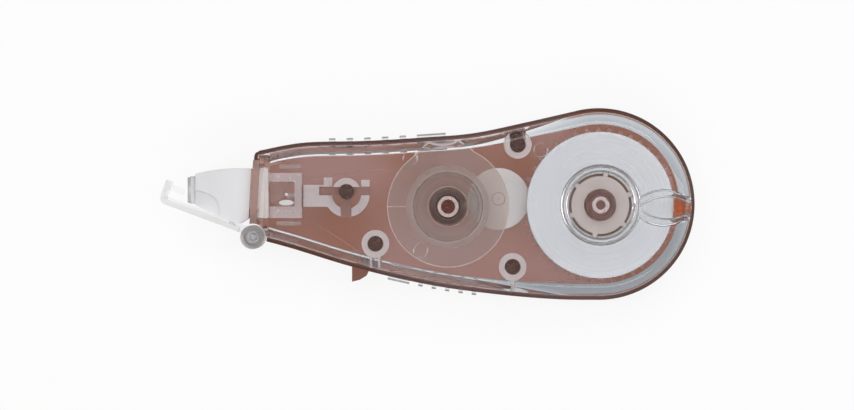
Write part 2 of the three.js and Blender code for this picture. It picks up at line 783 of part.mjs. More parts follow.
function takeupReel() {
  const bore = takeupShaft.outer + shaftClearance
  const flangeLow = tapeLow - axialGap - flangeThickness
  const top = tapeTop + axialGap
  const gear = extruded(gearShape(takeupTeeth, takeupPhase), gearLow, gearTop).translate([...takeupAxis, 0])
  return joined([
    gear,
    disc(takeupAxis, bore + takeupHubWall, gearLow, top),
    disc(takeupAxis, flangeRadius, flangeLow, flangeLow + flangeThickness, 48),
    tube(takeupAxis, coreRadius - coreWall, coreRadius, flangeLow, top, 40),
  ]).subtract(disc(takeupAxis, bore, -1, caseThickness))
}

function takeupFlange() {
  const low = tapeTop + axialGap + seatGap
  const bore = takeupShaft.outer + shaftClearance + takeupHubWall
  const plate = tube(takeupAxis, bore, flangeRadius, low, low + flangeThickness, 48)
  const lipOuter = coreRadius - coreWall - seatGap
  const lip = tube(takeupAxis, lipOuter - coreWall, lipOuter, low - 1, low + flangeThickness / 2, 40)
  return plate.add(lip)
}

function takeupWinding() {
  return tube(takeupAxis, coreRadius + seatGap, windingRadius, tapeLow, tapeTop, 40)
}

// Head

// Plan of the nose: its base lies along the mouth, its top runs to the tip and its underside back
function noseOutline() {
  const [[topX, topY], [bottomX, bottomY]] = [frontCornerTop, frontCornerBottom]
  const base = (y) => [THREE.MathUtils.mapLinear(y, bottomY, topY, bottomX, topX) - noseBase.gap, y]
  const [ridge, ...crown] = noseTop.map(placed)
  const [tipTop, tipRound, tipLow] = noseTip.map(placed)
  const [belly, heelFront, heelRound, heelBack] = noseUnder.map(placed)
  const shape = new THREE.Shape()
  shape.moveTo(...base(noseBase.low))
  shape.lineTo(...base(noseBase.high))
  shape.lineTo(...ridge)
  shape.splineThru(vectors(crown))
  shape.lineTo(...tipTop)
  shape.quadraticCurveTo(...tipRound, ...tipLow)
  shape.lineTo(...belly)
  shape.lineTo(...heelFront)
  shape.quadraticCurveTo(...heelRound, ...heelBack)
  return shape
}

// Side view of the nose: a wedge about the middle plane, thin at the tip
function noseWedge(shrink) {
  const upper = noseDepths.map(placed).map(([x, half]) => [x, half - shrink])
  const lower = upper.map(([x, half]) => [x, -half]).reverse()
  const wedge = extruded(polygon([...upper, ...lower]), -caseThickness, caseThickness)
  return wedge.rotate([90, 0, 0]).translate([0, 0, midHeight])
}

// Shallow thumb hollow in both faces of the nose, below this curved edge
function thumbHollow() {
  const [rim, bendOut, bendIn, end] = thumbEdge.map(placed)
  const below = noseBase.low - 1
  const shape = new THREE.Shape()
  shape.moveTo(tipX - 1, rim[1])
  shape.lineTo(...rim)
  shape.bezierCurveTo(...bendOut, ...bendIn, ...end)
  shape.lineTo(end[0], below)
  shape.lineTo(tipX - 1, below)
  return extruded(shape, -1, caseThickness + 1)
}

// Block through the head that is centred on the tape
function tapeBlock(x0, x1, half) {
  return box(x0, x1, tapeTipY - half.y, tapeTipY + half.y, midHeight - half.z, midHeight + half.z)
}

function headNose() {
  const plan = extruded(noseOutline(), 0, caseThickness)
  const hollowed = plan.intersect(noseWedge(thumbDepth))
  const full = plan.subtract(thumbHollow()).intersect(noseWedge(0))
  const neckFront = frontCornerBottom[0] - noseBase.gap - noseFront
  const neckEnd = flangeBar.back - axialGap
  const openTip = box(tipX - 5, tipX + noseFront, noseBase.low, noseBase.high, 0, caseThickness)
  return hollowed.add(full)
    .add(tapeBlock(neckFront, neckEnd, neck))
    .subtract(tapeBlock(tipX - 1, neckEnd + 1, channel))
    .subtract(openTip)
}

function headTongue() {
  const half = tapeWidth / 2 + bladeSpare
  const round = bladeThickness / 2
  const edgeX = tipX + ribbonThickness + seatGap + round
  const blade = tapeBlock(edgeX, headTapeEnd - tapeEndGap.case, { y: half, z: round })
  const edge = turned([[0, -half], [round, -half], [round, half], [0, half]], 16)
  return blade.add(edge.rotate([90, 0, 0]).translate([edgeX, tapeTipY, midHeight]))
}

// Rod along X about the swing axis
function swingRod(profile) {
  return turned(profile, 24).rotate([0, 90, 0]).translate([0, swingAxisY, midHeight])
}

function headHolder() {
  const { front, back, low, high, halfDepth } = flangeBar
  const { inner, plate } = cage
  const layer = (x0, x1, y0, y1, half) => box(x0, x1, y0, y1, midHeight - half, midHeight + half)
  const passage = { y: neck.y + seatGap, z: neck.z + seatGap }
  const bore = swingPin.radius + shaftClearance
  const room = [
    tapeBlock(front - 1, back + 0.01, passage),
    layer(back, cageWindow.back, cage.low - 1, cage.high + 1, inner),
    layer(back, cage.back + 1, stem.high, cage.high + 1, inner),
    layer(back, cage.back + 1, cage.low - 1, stem.low, inner),
    layer(back, cageWindow.back, cageWindow.low, cageWindow.high, midHeight),
    swingRod([[0, flangeBar.front], [bore, flangeBar.front], [bore, cage.back + 1], [0, cage.back + 1]]),
  ]
  return layer(front, back, low, high, halfDepth)
    .add(layer(back - 0.5, cage.back, cage.low, cage.high, inner + plate))
    .subtract(joined(room))
}

function yokeShape() {
  const [x, y] = [posts.yoke[0], posts.yoke[1] - yoke.low]
  const { inner, wall, left, right } = yoke
  const outer = inner + wall
  const shape = new THREE.Shape()
  shape.moveTo(x - outer, left)
  shape.lineTo(x - outer, y)
  shape.absarc(x, y, outer, Math.PI, 2 * Math.PI, false)
  shape.lineTo(x + outer, right)
  shape.lineTo(x + inner, right)
  shape.lineTo(x + inner, y)
  shape.absarc(x, y, inner, 2 * Math.PI, Math.PI, true)
  shape.lineTo(x - inner, left)
  return shape
}

function headYoke() {
  const fork = extruded(yokeShape(), midHeight - yoke.halfDepth, midHeight + yoke.halfDepth)
  const front = cage.back + axialGap
  const rear = posts.yoke[0] - yoke.inner - axialGap
  const arm = box(front, rear, stem.low, stem.high, midHeight - stem.halfDepth, midHeight + stem.halfDepth)
  const { radius, tip, nose, seat } = swingPin
  const root = front + seat
  const pin = swingRod([[0, tip], [radius * 0.6, tip], [radius, tip + nose], [radius, root], [0, root]])
  return fork.add(arm).subtract(yokeRib(0, axialGap)).add(pin)
}

// Cap, drawn along its own floor: u runs from the hinge to the closed end, v towards the head

function capSolid() {
  const [low, high] = [-capHalfWidth, capHalfWidth]
  const inside = capReach - capWall
  const side = new THREE.Shape()
  side.moveTo(capStart, 0)
  side.lineTo(capReach - capCorner, 0)
  side.quadraticCurveTo(capReach, 0, capReach, capCorner)
  side.lineTo(capReach, capHeight)
  side.lineTo(inside, capHeight)
  side.lineTo(inside, capCorner)
  side.quadraticCurveTo(inside, capWall, inside - (capCorner - capWall), capWall)
  side.lineTo(capStart, capWall)
  const cheekEnd = capReach - cheekCorner.along
  const cheek = polygon([
    [cheekStart, 0],
    [capReach - capCorner, 0],
    [cheekEnd, cheekCorner.up],
    [cheekEnd, capRail],
    [cheekStart, capRail],
  ])
  const { from, to, depth } = gusset
  const rib = tongueRib
  const solids = joined([
    extruded(side, low, high),
    extruded(cheek, low, low + capWall),
    extruded(cheek, high - capWall, high),
    box(from, to, capWall / 2, capRail, low, low + capWall + depth),
    box(from, to, capWall / 2, capRail, high - capWall - depth, high),
    box(capReach - rib.from, capReach - rib.to, rib.low, rib.high, -rib.half, rib.half),
    disc([0, 0], knobRadius, low - ear.proud, low + ear.depth),
    disc([0, 0], knobRadius, high - ear.depth, high + ear.proud),
  ])
  return solids.subtract(disc([0, 0], hingePin + shaftClearance, low - 0.2, high + 0.2, 24))
}

// Assembly

const finishes = {
  clear: { color: 0xd9dcdf, roughness: 0.08, metalness: 0 },
  tinted: { color: 0xa87e77, roughness: 0.1, metalness: 0 },
  frosted: { color: 0xe2e2e4, roughness: 0.45, metalness: 0 },
  translucent: { color: 0xc6bebc, roughness: 0.35, metalness: 0 },
  cream: { color: 0xbcb0ab, roughness: 0.4, metalness: 0 },
  tape: { color: 0xd0d0d2, roughness: 0.6, metalness: 0 },
  rubber: { color: 0x4a4644, roughness: 0.8, metalness: 0 },
}

function piece(name, solid, finish) {
  const mesh = new THREE.Mesh(geometryOf(solid), new THREE.MeshStandardMaterial(finishes[finish]))
  mesh.name = name
  return mesh
}

const correctionTape = new THREE.Group()
const supplySpool = new THREE.Group()
const takeupSpool = new THREE.Group()
const head = new THREE.Group()
const capPivot = new THREE.Group()

supplySpool.add(
  piece('supply_core', supplyCore(), 'cream'),
  piece('clutch_disc', clutchDiscSolid(), 'cream'),
  piece('clutch_ring', clutchRingSolid(), 'rubber'),
  piece('tape_pack', tapePack(), 'tape'),
)
takeupSpool.add(
  piece('takeup_reel', takeupReel(), 'clear'),
  piece('takeup_front_flange', takeupFlange(), 'clear'),
  piece('takeup_winding', takeupWinding(), 'tape'),
)
head.add(
  piece('head_nose', headNose(), 'frosted'),
  piece('head_tongue', headTongue(), 'frosted'),
  piece('head_holder', headHolder(), 'translucent'),
  piece('tape_tip_loop', tapeTipLoop(), 'tape'),
)
capPivot.add(piece('cap', capSolid().mirror([0, 1, 0]), 'clear'))
capPivot.position.set(...capHinge, midHeight)
capPivot.rotation.z = capAngle

correctionTape.add(
  piece('back_shell', backShell(), 'tinted'),
  piece('front_shell', frontShell(), 'clear'),
  piece('supply_gear', supplyGear(), 'translucent'),
  piece('idler_gear', idlerGear(), 'frosted'),
  piece('head_yoke', headYoke(), 'translucent'),
  piece('tape_feed_run', tapeFeedRun(), 'tape'),
  piece('tape_return_run', tapeReturnRun(), 'tape'),
  supplySpool,
  takeupSpool,
  head,
  capPivot,
)

const extent = new THREE.Box3().setFromObject(correctionTape, true)
const centre = extent.getCenter(new THREE.Vector3())
correctionTape.position.set(-centre.x, -centre.y, -extent.min.z)

export default correctionTape
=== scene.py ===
import bpy
import bmesh
import json
import math
import random
from mathutils import Matrix, Vector


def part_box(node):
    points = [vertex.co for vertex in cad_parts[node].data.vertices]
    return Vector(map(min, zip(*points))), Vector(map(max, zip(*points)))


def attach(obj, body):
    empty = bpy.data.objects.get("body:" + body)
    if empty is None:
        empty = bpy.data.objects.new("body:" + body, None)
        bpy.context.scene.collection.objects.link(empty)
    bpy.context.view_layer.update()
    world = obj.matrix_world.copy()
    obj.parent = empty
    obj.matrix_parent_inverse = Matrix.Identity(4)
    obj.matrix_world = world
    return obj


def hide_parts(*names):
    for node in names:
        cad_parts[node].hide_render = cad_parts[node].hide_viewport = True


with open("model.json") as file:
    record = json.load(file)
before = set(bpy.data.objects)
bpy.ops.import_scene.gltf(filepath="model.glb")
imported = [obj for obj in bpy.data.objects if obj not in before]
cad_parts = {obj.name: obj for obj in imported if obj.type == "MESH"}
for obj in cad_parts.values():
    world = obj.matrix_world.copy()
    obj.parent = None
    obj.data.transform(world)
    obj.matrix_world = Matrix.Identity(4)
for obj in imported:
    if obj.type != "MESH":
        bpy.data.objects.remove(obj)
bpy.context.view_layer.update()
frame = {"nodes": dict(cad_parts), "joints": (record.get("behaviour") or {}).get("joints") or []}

MM = 0.001
random.seed(4)

# Places taken from the frame's joints
joints = {joint["name"]: joint for joint in frame["joints"]}


def axis_at(joint_name):
    return Vector(joints[joint_name]["pos_m"])


SUPPLY = axis_at("drive_spin")
IDLER = axis_at("idler_spin")
TAKEUP = axis_at("takeup_spin")
HINGE = axis_at("cap_hinge")

# Case sizes in metres
CASE_THICKNESS = 15 * MM
WALL = 1.2 * MM
BACK_ROUND = 1.6 * MM
FRONT_ROUND = 2.8 * MM
SEAM = 8 * MM
SEAM_GAP = 0.15 * MM
TAIL_CENTRE = (-0.2 * MM, 0.2 * MM)
TAIL_RADIUS = 18.9 * MM
TAIL_END = math.radians(105)
FLANGE_RADIUS = 12 * MM
TOP_RISES = ((14.95, 4.2), (4.95, 2.15), (-5.05, 1.3), (-16.05, 0.65), (-27.05, 0.4), (-33.05, -0.4))
BOTTOM_DROPS = ((-30.95, -3.5), (-20.05, -0.15), (-10.05, 2.4), (-0.05, 4.35), (11.95, 5.85), (22, 6.6))
CORNER_TOP = (-38.15, 10.5)
CORNER_BOTTOM = (-39.1, -6.3)
CORNER_STRAIGHT = 5 * MM
MID = CASE_THICKNESS / 2
COVER = CASE_THICKNESS - WALL
AXIAL_GAP = 0.3 * MM
FRONT_LEDGE = 0.9 * MM
FRONT_WALL = 0.8 * MM
BACK_INNER_ROUND = 2.2 * MM
TAIL_STEPS = 90
EDGE_STEPS = 8

# Inside the clear half: slopes as width and first and last angle, shelves as width and height
FRONT_RAMP = (0.25 * MM, (50, 62))
TAIL_RAMP = (1.6 * MM, (49, 68))
FRONT_SHELF = (1.0 * MM, 11.4 * MM)
TAIL_SHELF = (0.03 * MM, 9.6 * MM)

# Heights that many fittings share
FOOT = WALL - 0.05 * MM
SHAFT_TOP = COVER - AXIAL_GAP
THROUGH = (-1 * MM, CASE_THICKNESS + 1 * MM)

# Keeps apart two faces that would coincide in a cut or a join
HAIR = 0.01 * MM


def ahead(point):
    """A place given in millimetres from the take-up axis along X and from the supply axis along Y."""
    return Vector((TAKEUP.x + point[0] * MM, SUPPLY.y + point[1] * MM))


def from_supply(x_mm, y_mm):
    return Vector((SUPPLY.x + x_mm * MM, SUPPLY.y + y_mm * MM))


def in_metres(pairs):
    return [(a * MM, b * MM) for a, b in pairs]


# Mesh building

SHARP_ANGLE = 35
FACE_WEIGHT = 80
WELD_REACH = 0.002 * MM


def new_object(name, bm):
    mesh = bpy.data.meshes.new(name)
    bm.normal_update()
    bm.to_mesh(mesh)
    bm.free()
    made = bpy.data.objects.new(name, mesh)
    bpy.context.scene.collection.objects.link(made)
    return made


def plan_loop(plan, z):
    return [(p[0], p[1], z) for p in plan]


def skinned(name, loops, closed_profile=False):
    """A solid over a stack of vertex loops, with a cap on the first and the last unless the stack closes."""
    bm = bmesh.new()
    rings = [[bm.verts.new(point) for point in loop] for loop in loops]
    pairs = list(zip(rings, rings[1:]))
    if closed_profile:
        pairs.append((rings[-1], rings[0]))
    for lower, upper in pairs:
        for i in range(len(lower)):
            j = (i + 1) % len(lower)
            bm.faces.new((lower[i], lower[j], upper[j], upper[i]))
    if not closed_profile:
        bm.faces.new(reversed(rings[0]))
        bm.faces.new(rings[-1])
    bmesh.ops.recalc_face_normals(bm, faces=bm.faces)
    return new_object(name, bm)


def lathe(name, profile, at=(0, 0), segments=96):
    """A body turned about a vertical axis from (radius, height) pairs, closed on the axis or on itself."""
    on_axis = profile[0][0] == 0
    rings = profile[1:-1] if on_axis else profile
    loops = []
    for radius, z in rings:
        angles = (2 * math.pi * k / segments for k in range(segments))
        loops.append([(at[0] + radius * math.cos(a), at[1] + radius * math.sin(a), z) for a in angles])
    return skinned(name, loops, closed_profile=not on_axis)


def rod(name, at, radius, low, high, segments=48, soften=0.15 * MM):
    profile = ((0, low), (radius - soften, low), (radius, low + soften), (radius, high - soften),
               (radius - soften, high), (0, high))
    return lathe(name, profile, at, segments)


def prism(name, plan, low, high):
    return skinned(name, [plan_loop(plan, z) for z in (low, high)])


def block(name, x0, x1, y0, y1, z0, z1):
    return prism(name, ((x0, y0), (x1, y0), (x1, y1), (x0, y1)), z0, z1)


def oval(at, across, up, steps, tilt=0):
    """Points round an ellipse, given by its two half widths in millimetres and its tilt in degrees."""
    cos, sin = math.cos(math.radians(tilt)), math.sin(math.radians(tilt))
    points = []
    for k in range(steps):
        a = 2 * math.pi * k / steps
        x, y = across * MM * math.cos(a), up * MM * math.sin(a)
        points.append((at.x + x * cos - y * sin, at.y + x * sin + y * cos))
    return points


def combined(base, parts, operation):
    """Joins or cuts the base with the parts, which are used up."""
    for part in parts:
        step = base.modifiers.new("step", "BOOLEAN")
        step.operation = operation
        step.solver = "MANIFOLD"
        step.object = part
    bpy.context.view_layer.update()
    depsgraph = bpy.context.evaluated_depsgraph_get()
    result = bpy.data.meshes.new_from_object(base.evaluated_get(depsgraph))
    base.modifiers.clear()
    base.data = result
    for part in parts:
        bpy.data.objects.remove(part)
    return base


def smoothed(piece, angle=SHARP_ANGLE, bevel=None, segments=2):
    """Smooth shading with crisp edges, and small rounded edges where a bevel width is given."""
    if bevel:
        edge = piece.modifiers.new("edges", "BEVEL")
        edge.width = bevel
        edge.segments = segments
        edge.limit_method = "ANGLE"
        edge.angle_limit = math.radians(angle)
    piece.data.shade_smooth()
    piece.data.set_sharp_from_angle(angle=math.radians(angle))
    weights = piece.modifiers.new("weights", "WEIGHTED_NORMAL")
    weights.keep_sharp = True
    weights.weight = FACE_WEIGHT
    return piece


def weld(piece):
    """Joins the doubled points of a faceted solid."""
    joined = piece.modifiers.new("weld", "WELD")
    joined.merge_threshold = WELD_REACH


def refine_node(name, look, bevel=0.08 * MM, segments=2):
    """Keeps a CAD node and gives it rounded edges and a material."""
    node = frame["nodes"][name]
    weld(node)
    flat = node.modifiers.new("flat", "DECIMATE")
    flat.decimate_type = "DISSOLVE"
    flat.angle_limit = math.radians(1)
    smoothed(node, bevel=bevel, segments=segments)
    put_material(node, MATERIALS[look])


def copied_node(name):
    """A new object with the shape of a CAD node, for cutting."""
    node = frame["nodes"][name]
    copy = bpy.data.objects.new(name + "_copy", node.data.copy())
    copy.matrix_world = node.matrix_world
    bpy.context.scene.collection.objects.link(copy)
    copy.data.transform(copy.matrix_world)
    copy.matrix_world = Matrix.Identity(4)
    weld(copy)
    return copy


def put_material(piece, material):
    if not piece.data.materials:
        piece.data.materials.append(material)
    for place in piece.material_slots:
        place.material = material


# Case outline


def spline(points, steps):
    """Uniform Catmull-Rom curve through the points, without its last point."""
    path = []
    last = len(points) - 1
    for i in range(last):
        p0, p1, p2, p3 = points[max(i - 1, 0)], points[i], points[i + 1], points[min(i + 2, last)]
        v0, v1 = (p2 - p0) / 2, (p3 - p1) / 2
        for k in range(steps):
            t = k / steps
            path.append((2 * p1 - 2 * p2 + v0 + v1) * t ** 3
                        + (3 * p2 - 3 * p1 - 2 * v0 - v1) * t ** 2 + v0 * t + p1)
    return path


def case_outline():
    """Points round the case: lower edge, round tail, upper edge, with straight runs at both corners."""
    centre = Vector((SUPPLY.x + TAIL_CENTRE[0], SUPPLY.y + TAIL_CENTRE[1]))
    flange = FLANGE_RADIUS / MM

    def on_tail(angle):
        return centre + TAIL_RADIUS * Vector((math.cos(angle), math.sin(angle)))

    top, bottom = ahead(CORNER_TOP), ahead(CORNER_BOTTOM)
    lower = [ahead((x, -flange - drop)) for x, drop in BOTTOM_DROPS]
    upper = [ahead((x, flange + rise)) for x, rise in TOP_RISES]
    start = -math.pi / 2
    tail = [on_tail(start + (TAIL_END - start) * k / TAIL_STEPS) for k in range(TAIL_STEPS)]
    path = spline([bottom, *lower, tail[0]], EDGE_STEPS) + tail
    path += spline([on_tail(TAIL_END), *upper, top], EDGE_STEPS) + [top]

    def clear_of_corner(point):
        distances = [(point - corner).length for corner in (top, bottom)]
        return all(distance < HAIR or distance > CORNER_STRAIGHT for distance in distances)

    return [point for point in path if clear_of_corner(point)]


OUTLINE = case_outline()


def inset_outline(distance):
    """The outline moved inwards, mitred at its corners."""
    moved = []
    count = len(OUTLINE)
    for i, point in enumerate(OUTLINE):
        before, after = OUTLINE[i - 1], OUTLINE[(i + 1) % count]
        n1 = (point - before).normalized()
        n2 = (after - point).normalized()
        in1, in2 = Vector((-n1.y, n1.x)), Vector((-n2.y, n2.x))
        moved.append(point + (in1 + in2) * (distance / (1 + in1.dot(in2))))
    return moved


def outline_loop(distance, z):
    return plan_loop(inset_outline(distance), z)


def quarter(steps):
    return [math.pi / 2 * k / steps for k in range(steps + 1)]


def half_turn(steps):
    return [math.pi * k / steps for k in range(steps + 1)]


def tail_share(x):
    """0 over the front part of the case, rising to 1 over the supply reel."""
    share = min(max((x - TAKEUP.x) / (SUPPLY.x - TAKEUP.x), 0), 1)
    return share * share * (3 - 2 * share)


def rounded_loops(inset, radius, z, towards, steps):
    """The rounding between a flat face at height z and a wall, from the face outwards."""
    loops = []
    for a in quarter(steps):
        distance = inset + radius * (1 - math.sin(a))
        loops.append(outline_loop(distance, z + towards * radius * (1 - math.cos(a))))
    return loops


def eased_loop(near, far, near_z, far_z):
    """A loop between two insets of the outline, near over the front and far over the supply reel."""
    loop = []
    for a, b, point in zip(inset_outline(near), inset_outline(far), OUTLINE):
        share = tail_share(point.x)
        place = a.lerp(b, share)
        loop.append((place.x, place.y, near_z + (far_z - near_z) * share))
    return loop


def ramp_loops(inset, z, steps):
    """The steep inner slope from the cover's flat underside down to a shelf on the wall."""
    loops = []
    ends = ((FRONT_SHELF, FRONT_RAMP), (TAIL_SHELF, TAIL_RAMP))
    reach = [inset + shelf[0] + ramp[0] for shelf, ramp in ends]
    height = [z, z]
    for k in range(steps + 1):
        loops.append(eased_loop(*reach, *height))
        for i, (_, (width, (first, last))) in enumerate(ends):
            angle = math.radians(first + (last - first) * (k + 0.5) / steps)
            if k < steps:
                reach[i] -= width / steps
                height[i] -= width / steps * math.tan(angle)
    shelf_z = (FRONT_SHELF[1], TAIL_SHELF[1])
    loops.append(eased_loop(*reach, *shelf_z))
    loops.append(eased_loop(inset, inset, *shelf_z))
    return loops


def shell_cup(name, ledge, wall, outer, inner, rim_z):
    """One half of the case as a closed cup: outer face, wall, rim, inner wall and inner face."""
    rim = [outline_loop(distance, rim_z) for distance in (ledge, ledge + wall)]
    return skinned(name, [*outer, *rim, *reversed(inner)])


def edge_at(x, upper):
    """Height of the outline at x on its upper or lower side, and its slope there."""
    best = None
    for i, a in enumerate(OUTLINE):
        b = OUTLINE[(i + 1) % len(OUTLINE)]
        if (a.x - x) * (b.x - x) <= 0 and a.x != b.x:
            slope = (b.y - a.y) / (b.x - a.x)
            y = a.y + slope * (x - a.x)
            if best is None or (y > best[0]) == upper:
                best = (y, math.atan(slope))
    return best


# Fittings of the shells

PIN_RADIUS = 1.45 * MM
SOCKET_INNER = 1.57 * MM
SOCKET_OUTER = 2.7 * MM
SOCKET_DEPTH = 6.2 * MM


def polar(axis, reach, degrees):
    angle = math.radians(degrees)
    return Vector((axis.x + reach * MM * math.cos(angle), axis.y + reach * MM * math.sin(angle)))


# From here on, sizes without MM are in millimetres, and places are given as for ahead()

LOWER_POST_ROOM = 3.1
YOKE_POST = (-19.95, 2.6)


def lower_post(x_mm):
    x = ahead((x_mm, 0)).x
    return Vector((x, edge_at(x, False)[0] + LOWER_POST_ROOM * MM + SOCKET_OUTER))


POSTS = {
    "upper": polar(SUPPLY, 20.1, 144),
    "lower_rear": lower_post(12.66),
    "lower_front": lower_post(-14.25),
    "yoke": ahead(YOKE_POST),
}
SUPPLY_SHAFT = (2.25 * MM, 3.07 * MM)
TAKEUP_SHAFT = (2.35 * MM, 2.95 * MM)
SHAFT_LIP = 0.28 * MM
IDLER_SPIGOT = 1.25 * MM
SPIGOT_TOP = 3.5 * MM
SUPPLY_PLUG_TOP = 4.5 * MM
TAKEUP_PLUG_TOP = 6 * MM
PACK_INNER, PACK_OUTER = 7.05 * MM, 14.4 * MM
TAPE_HALF = 2.5 * MM


def lean_x(y_mm):
    """X of the case's front edge at a height above the supply axis."""
    share = (y_mm - CORNER_BOTTOM[1]) / (CORNER_TOP[1] - CORNER_BOTTOM[1])
    return CORNER_BOTTOM[0] + share * (CORNER_TOP[0] - CORNER_BOTTOM[0])


MOUTH_LOW, MOUTH_HIGH, MOUTH_HALF = -1.9, 7.4, 3.4
MOUTH_WALL_LOW, MOUTH_WALL_HIGH, MOUTH_WALL_DEPTH = -3.9, 8.8, 1.3
FLANGE_FRONT, FLANGE_BACK = -36.95, -35.15
CAGE_BACK, CAGE_LOW, CAGE_HIGH = -28.75, -2.56, 6.3
BEYOND_FRONT = -43
CORNER_ROUND = 0.8 * MM
TAPE_TOP = 10 * MM
KNOB_RADIUS = 2.36 * MM

# The case's ribs round the yoke's post and the fork's openings over them: left, right, lower, upper reach
TEE_BAR = (-5.3, 4.4, -0.6, 0.95)
TEE_LEG = (-1.1, 0.85, -5.1, 0.2)
TEE_TOP = 9.3 * MM
BAR_OPENING = (-5.4, 5.5, -0.68, 1.03)
LEG_OPENING = (-1.18, 0.93, -5.2, 0.2)
OPENING_LOW, OPENING_HIGH = MID - 1.2 * MM, MID + 3 * MM

GUIDE_FRONTS = (-33.25, -33.85)
GUIDE_ROOMS = (0.75, 0.6)
GUIDE_WIDTH = 0.9
UPPER_RIB = (-1.2, 1.1)
TAB_AT = -16.05
TAB_PLAN = ((-2.86, 1.2), (-2.86, -2.2), (-1.3, -1.8), (0, -1), (1.1, 1.2))
TAB_LOW = 1.8 * MM


def slab(name, x0, x1, y0, y1, z0, z1):
    """A block given in plan by millimetres from the take-up axis and in height by metres."""
    low, high = ahead((x0, y0)), ahead((x1, y1))
    return block(name, low.x, high.x, low.y, high.y, z0, z1)


def shaft(name, at, inner, outer, low, high):
    """A tube with a rounded lip."""
    lip = [(SHAFT_LIP * (1 - math.cos(a)), high - SHAFT_LIP * (1 - math.sin(a))) for a in quarter(5)]
    outside = [(outer - inset, z) for inset, z in lip]
    inside = [(inner + inset, z) for inset, z in reversed(lip)]
    return lathe(name, [(inner, low), (outer, low), *outside, *inside], at, 96)


def mouth_wall():
    """The wall across the case's front, along its leaning edge."""
    low, high = MOUTH_WALL_LOW, MOUTH_WALL_HIGH
    plan = ((lean_x(low), low), (lean_x(low) + MOUTH_WALL_DEPTH, low),
            (lean_x(high) + MOUTH_WALL_DEPTH, high), (lean_x(high), high))
    return prism("mouth_wall", [ahead(p) for p in plan], 0, COVER - 0.15 * MM)


def mouth_opening():
    half = MOUTH_HALF * MM
    return slab("mouth_opening", BEYOND_FRONT, FLANGE_FRONT, MOUTH_LOW, MOUTH_HIGH, MID - half, MID + half)


def corner_trim():
    """What the rounding of the upper front corner takes off."""
    corner, radius, out = ahead(CORNER_TOP), CORNER_ROUND, 3 * MM
    plan = [(corner.x - out, corner.y + out), (corner.x - out, corner.y - radius)]
    for a in quarter(6):
        plan.append((corner.x + radius - radius * math.cos(a), corner.y - radius + radius * math.sin(a)))
    plan.append((corner.x + radius, corner.y + out))
    return prism("corner_trim", plan, *THROUGH)


def hinge_bite():
    """The room that the case leaves round the cap's ears."""
    return rod("hinge_bite", HINGE, KNOB_RADIUS + AXIAL_GAP, *THROUGH)


def by_yoke(name, reach, z0, z1):
    """A block round the yoke's post."""
    x, y = YOKE_POST
    left, right, lower, upper = reach
    return slab(name, x + left, x + right, y + lower, y + upper, z0, z1)


def build_tee_rib():
    bar = by_yoke("tee_bar", TEE_BAR, FOOT, TEE_TOP)
    leg = by_yoke("tee_leg", TEE_LEG, FOOT, TEE_TOP - HAIR)
    bore = rod("bore", POSTS["yoke"], PIN_RADIUS - 2 * HAIR, 0, TEE_TOP + 1 * MM)
    return combined(combined(bar, [leg], "UNION"), [bore], "DIFFERENCE")


def build_yoke():
    """The head's fork, open above the case's ribs so that they show in it."""
    fork = copied_node("head_yoke")
    openings = [by_yoke("bar_opening", BAR_OPENING, OPENING_LOW, OPENING_HIGH),
                by_yoke("leg_opening", LEG_OPENING, OPENING_LOW + HAIR, OPENING_HIGH)]
    return combined(fork, openings, "DIFFERENCE")


def build_guides():
    """The walls beside the head's holder, round on top."""
    top = TAPE_TOP + 1.5 * MM
    rise, drop = CAGE_HIGH + GUIDE_ROOMS[0], CAGE_LOW - GUIDE_ROOMS[1]
    upper = slab("guide_upper", GUIDE_FRONTS[0], CAGE_BACK, rise, rise + GUIDE_WIDTH, FOOT, top)
    lower = slab("guide_lower", GUIDE_FRONTS[1], CAGE_BACK, drop - GUIDE_WIDTH, drop, FOOT, top)
    return combined(upper, [lower], "UNION")


def upper_rib():
    """The rib from the upper post to the wall."""
    post = POSTS["upper"]
    edge = edge_at(post.x, True)[0] - WALL / 2
    left, right = (post.x + reach * MM for reach in UPPER_RIB)
    top = COVER - SOCKET_DEPTH - AXIAL_GAP
    return block("upper_rib", left, right, post.y, edge, WALL / 2, top)


def tab():
    """The small tab that stands out below the lower edge."""
    x = ahead((TAB_AT, 0)).x
    edge = edge_at(x, False)[0]
    return prism("tab", [(x + px * MM, edge + py * MM) for px, py in TAB_PLAN], TAB_LOW, SEAM - HAIR)


def build_back_shell():
    outer = rounded_loops(0, BACK_ROUND, 0, 1, 10)
    inner = rounded_loops(WALL, BACK_INNER_ROUND, WALL, 1, 8)
    shell = shell_cup("case_back", 0, WALL, outer, inner, SEAM)
    low = WALL / 2
    fittings = [
        shaft("supply_shaft", SUPPLY, *SUPPLY_SHAFT, low, SHAFT_TOP),
        rod("supply_plug", SUPPLY, SUPPLY_SHAFT[0] + 0.1 * MM, low, SUPPLY_PLUG_TOP),
        rod("idler_spigot", IDLER, IDLER_SPIGOT, low, SPIGOT_TOP),
        upper_rib(),
        tab(),
    ]
    combined(shell, fittings, "UNION")
    return combined(shell, [mouth_opening(), corner_trim(), hinge_bite()], "DIFFERENCE")


def build_pins():
    pins = [rod("pin", post, PIN_RADIUS, FOOT, SHAFT_TOP) for post in POSTS.values()]
    return combined(pins[0], pins[1:], "UNION")


# Radius and height of the ring that keeps the take-up reel on its shaft
KEEPER = ((2.8, 11.2), (3.5, 11.2), (3.62, 11.3), (3.6, 11.5), (3.4, 11.62), (2.8, 11.7))


def build_takeup_shaft():
    post = shaft("takeup_shaft", TAKEUP, *TAKEUP_SHAFT, FOOT, SHAFT_TOP)
    return combined(post, [lathe("keeper", in_metres(KEEPER), TAKEUP, 96)], "UNION")


def build_warm_plug():
    """The bright core seen down the take-up shaft."""
    return rod("takeup_plug", TAKEUP, TAKEUP_SHAFT[0] - 2 * HAIR, FOOT, TAKEUP_PLUG_TOP)


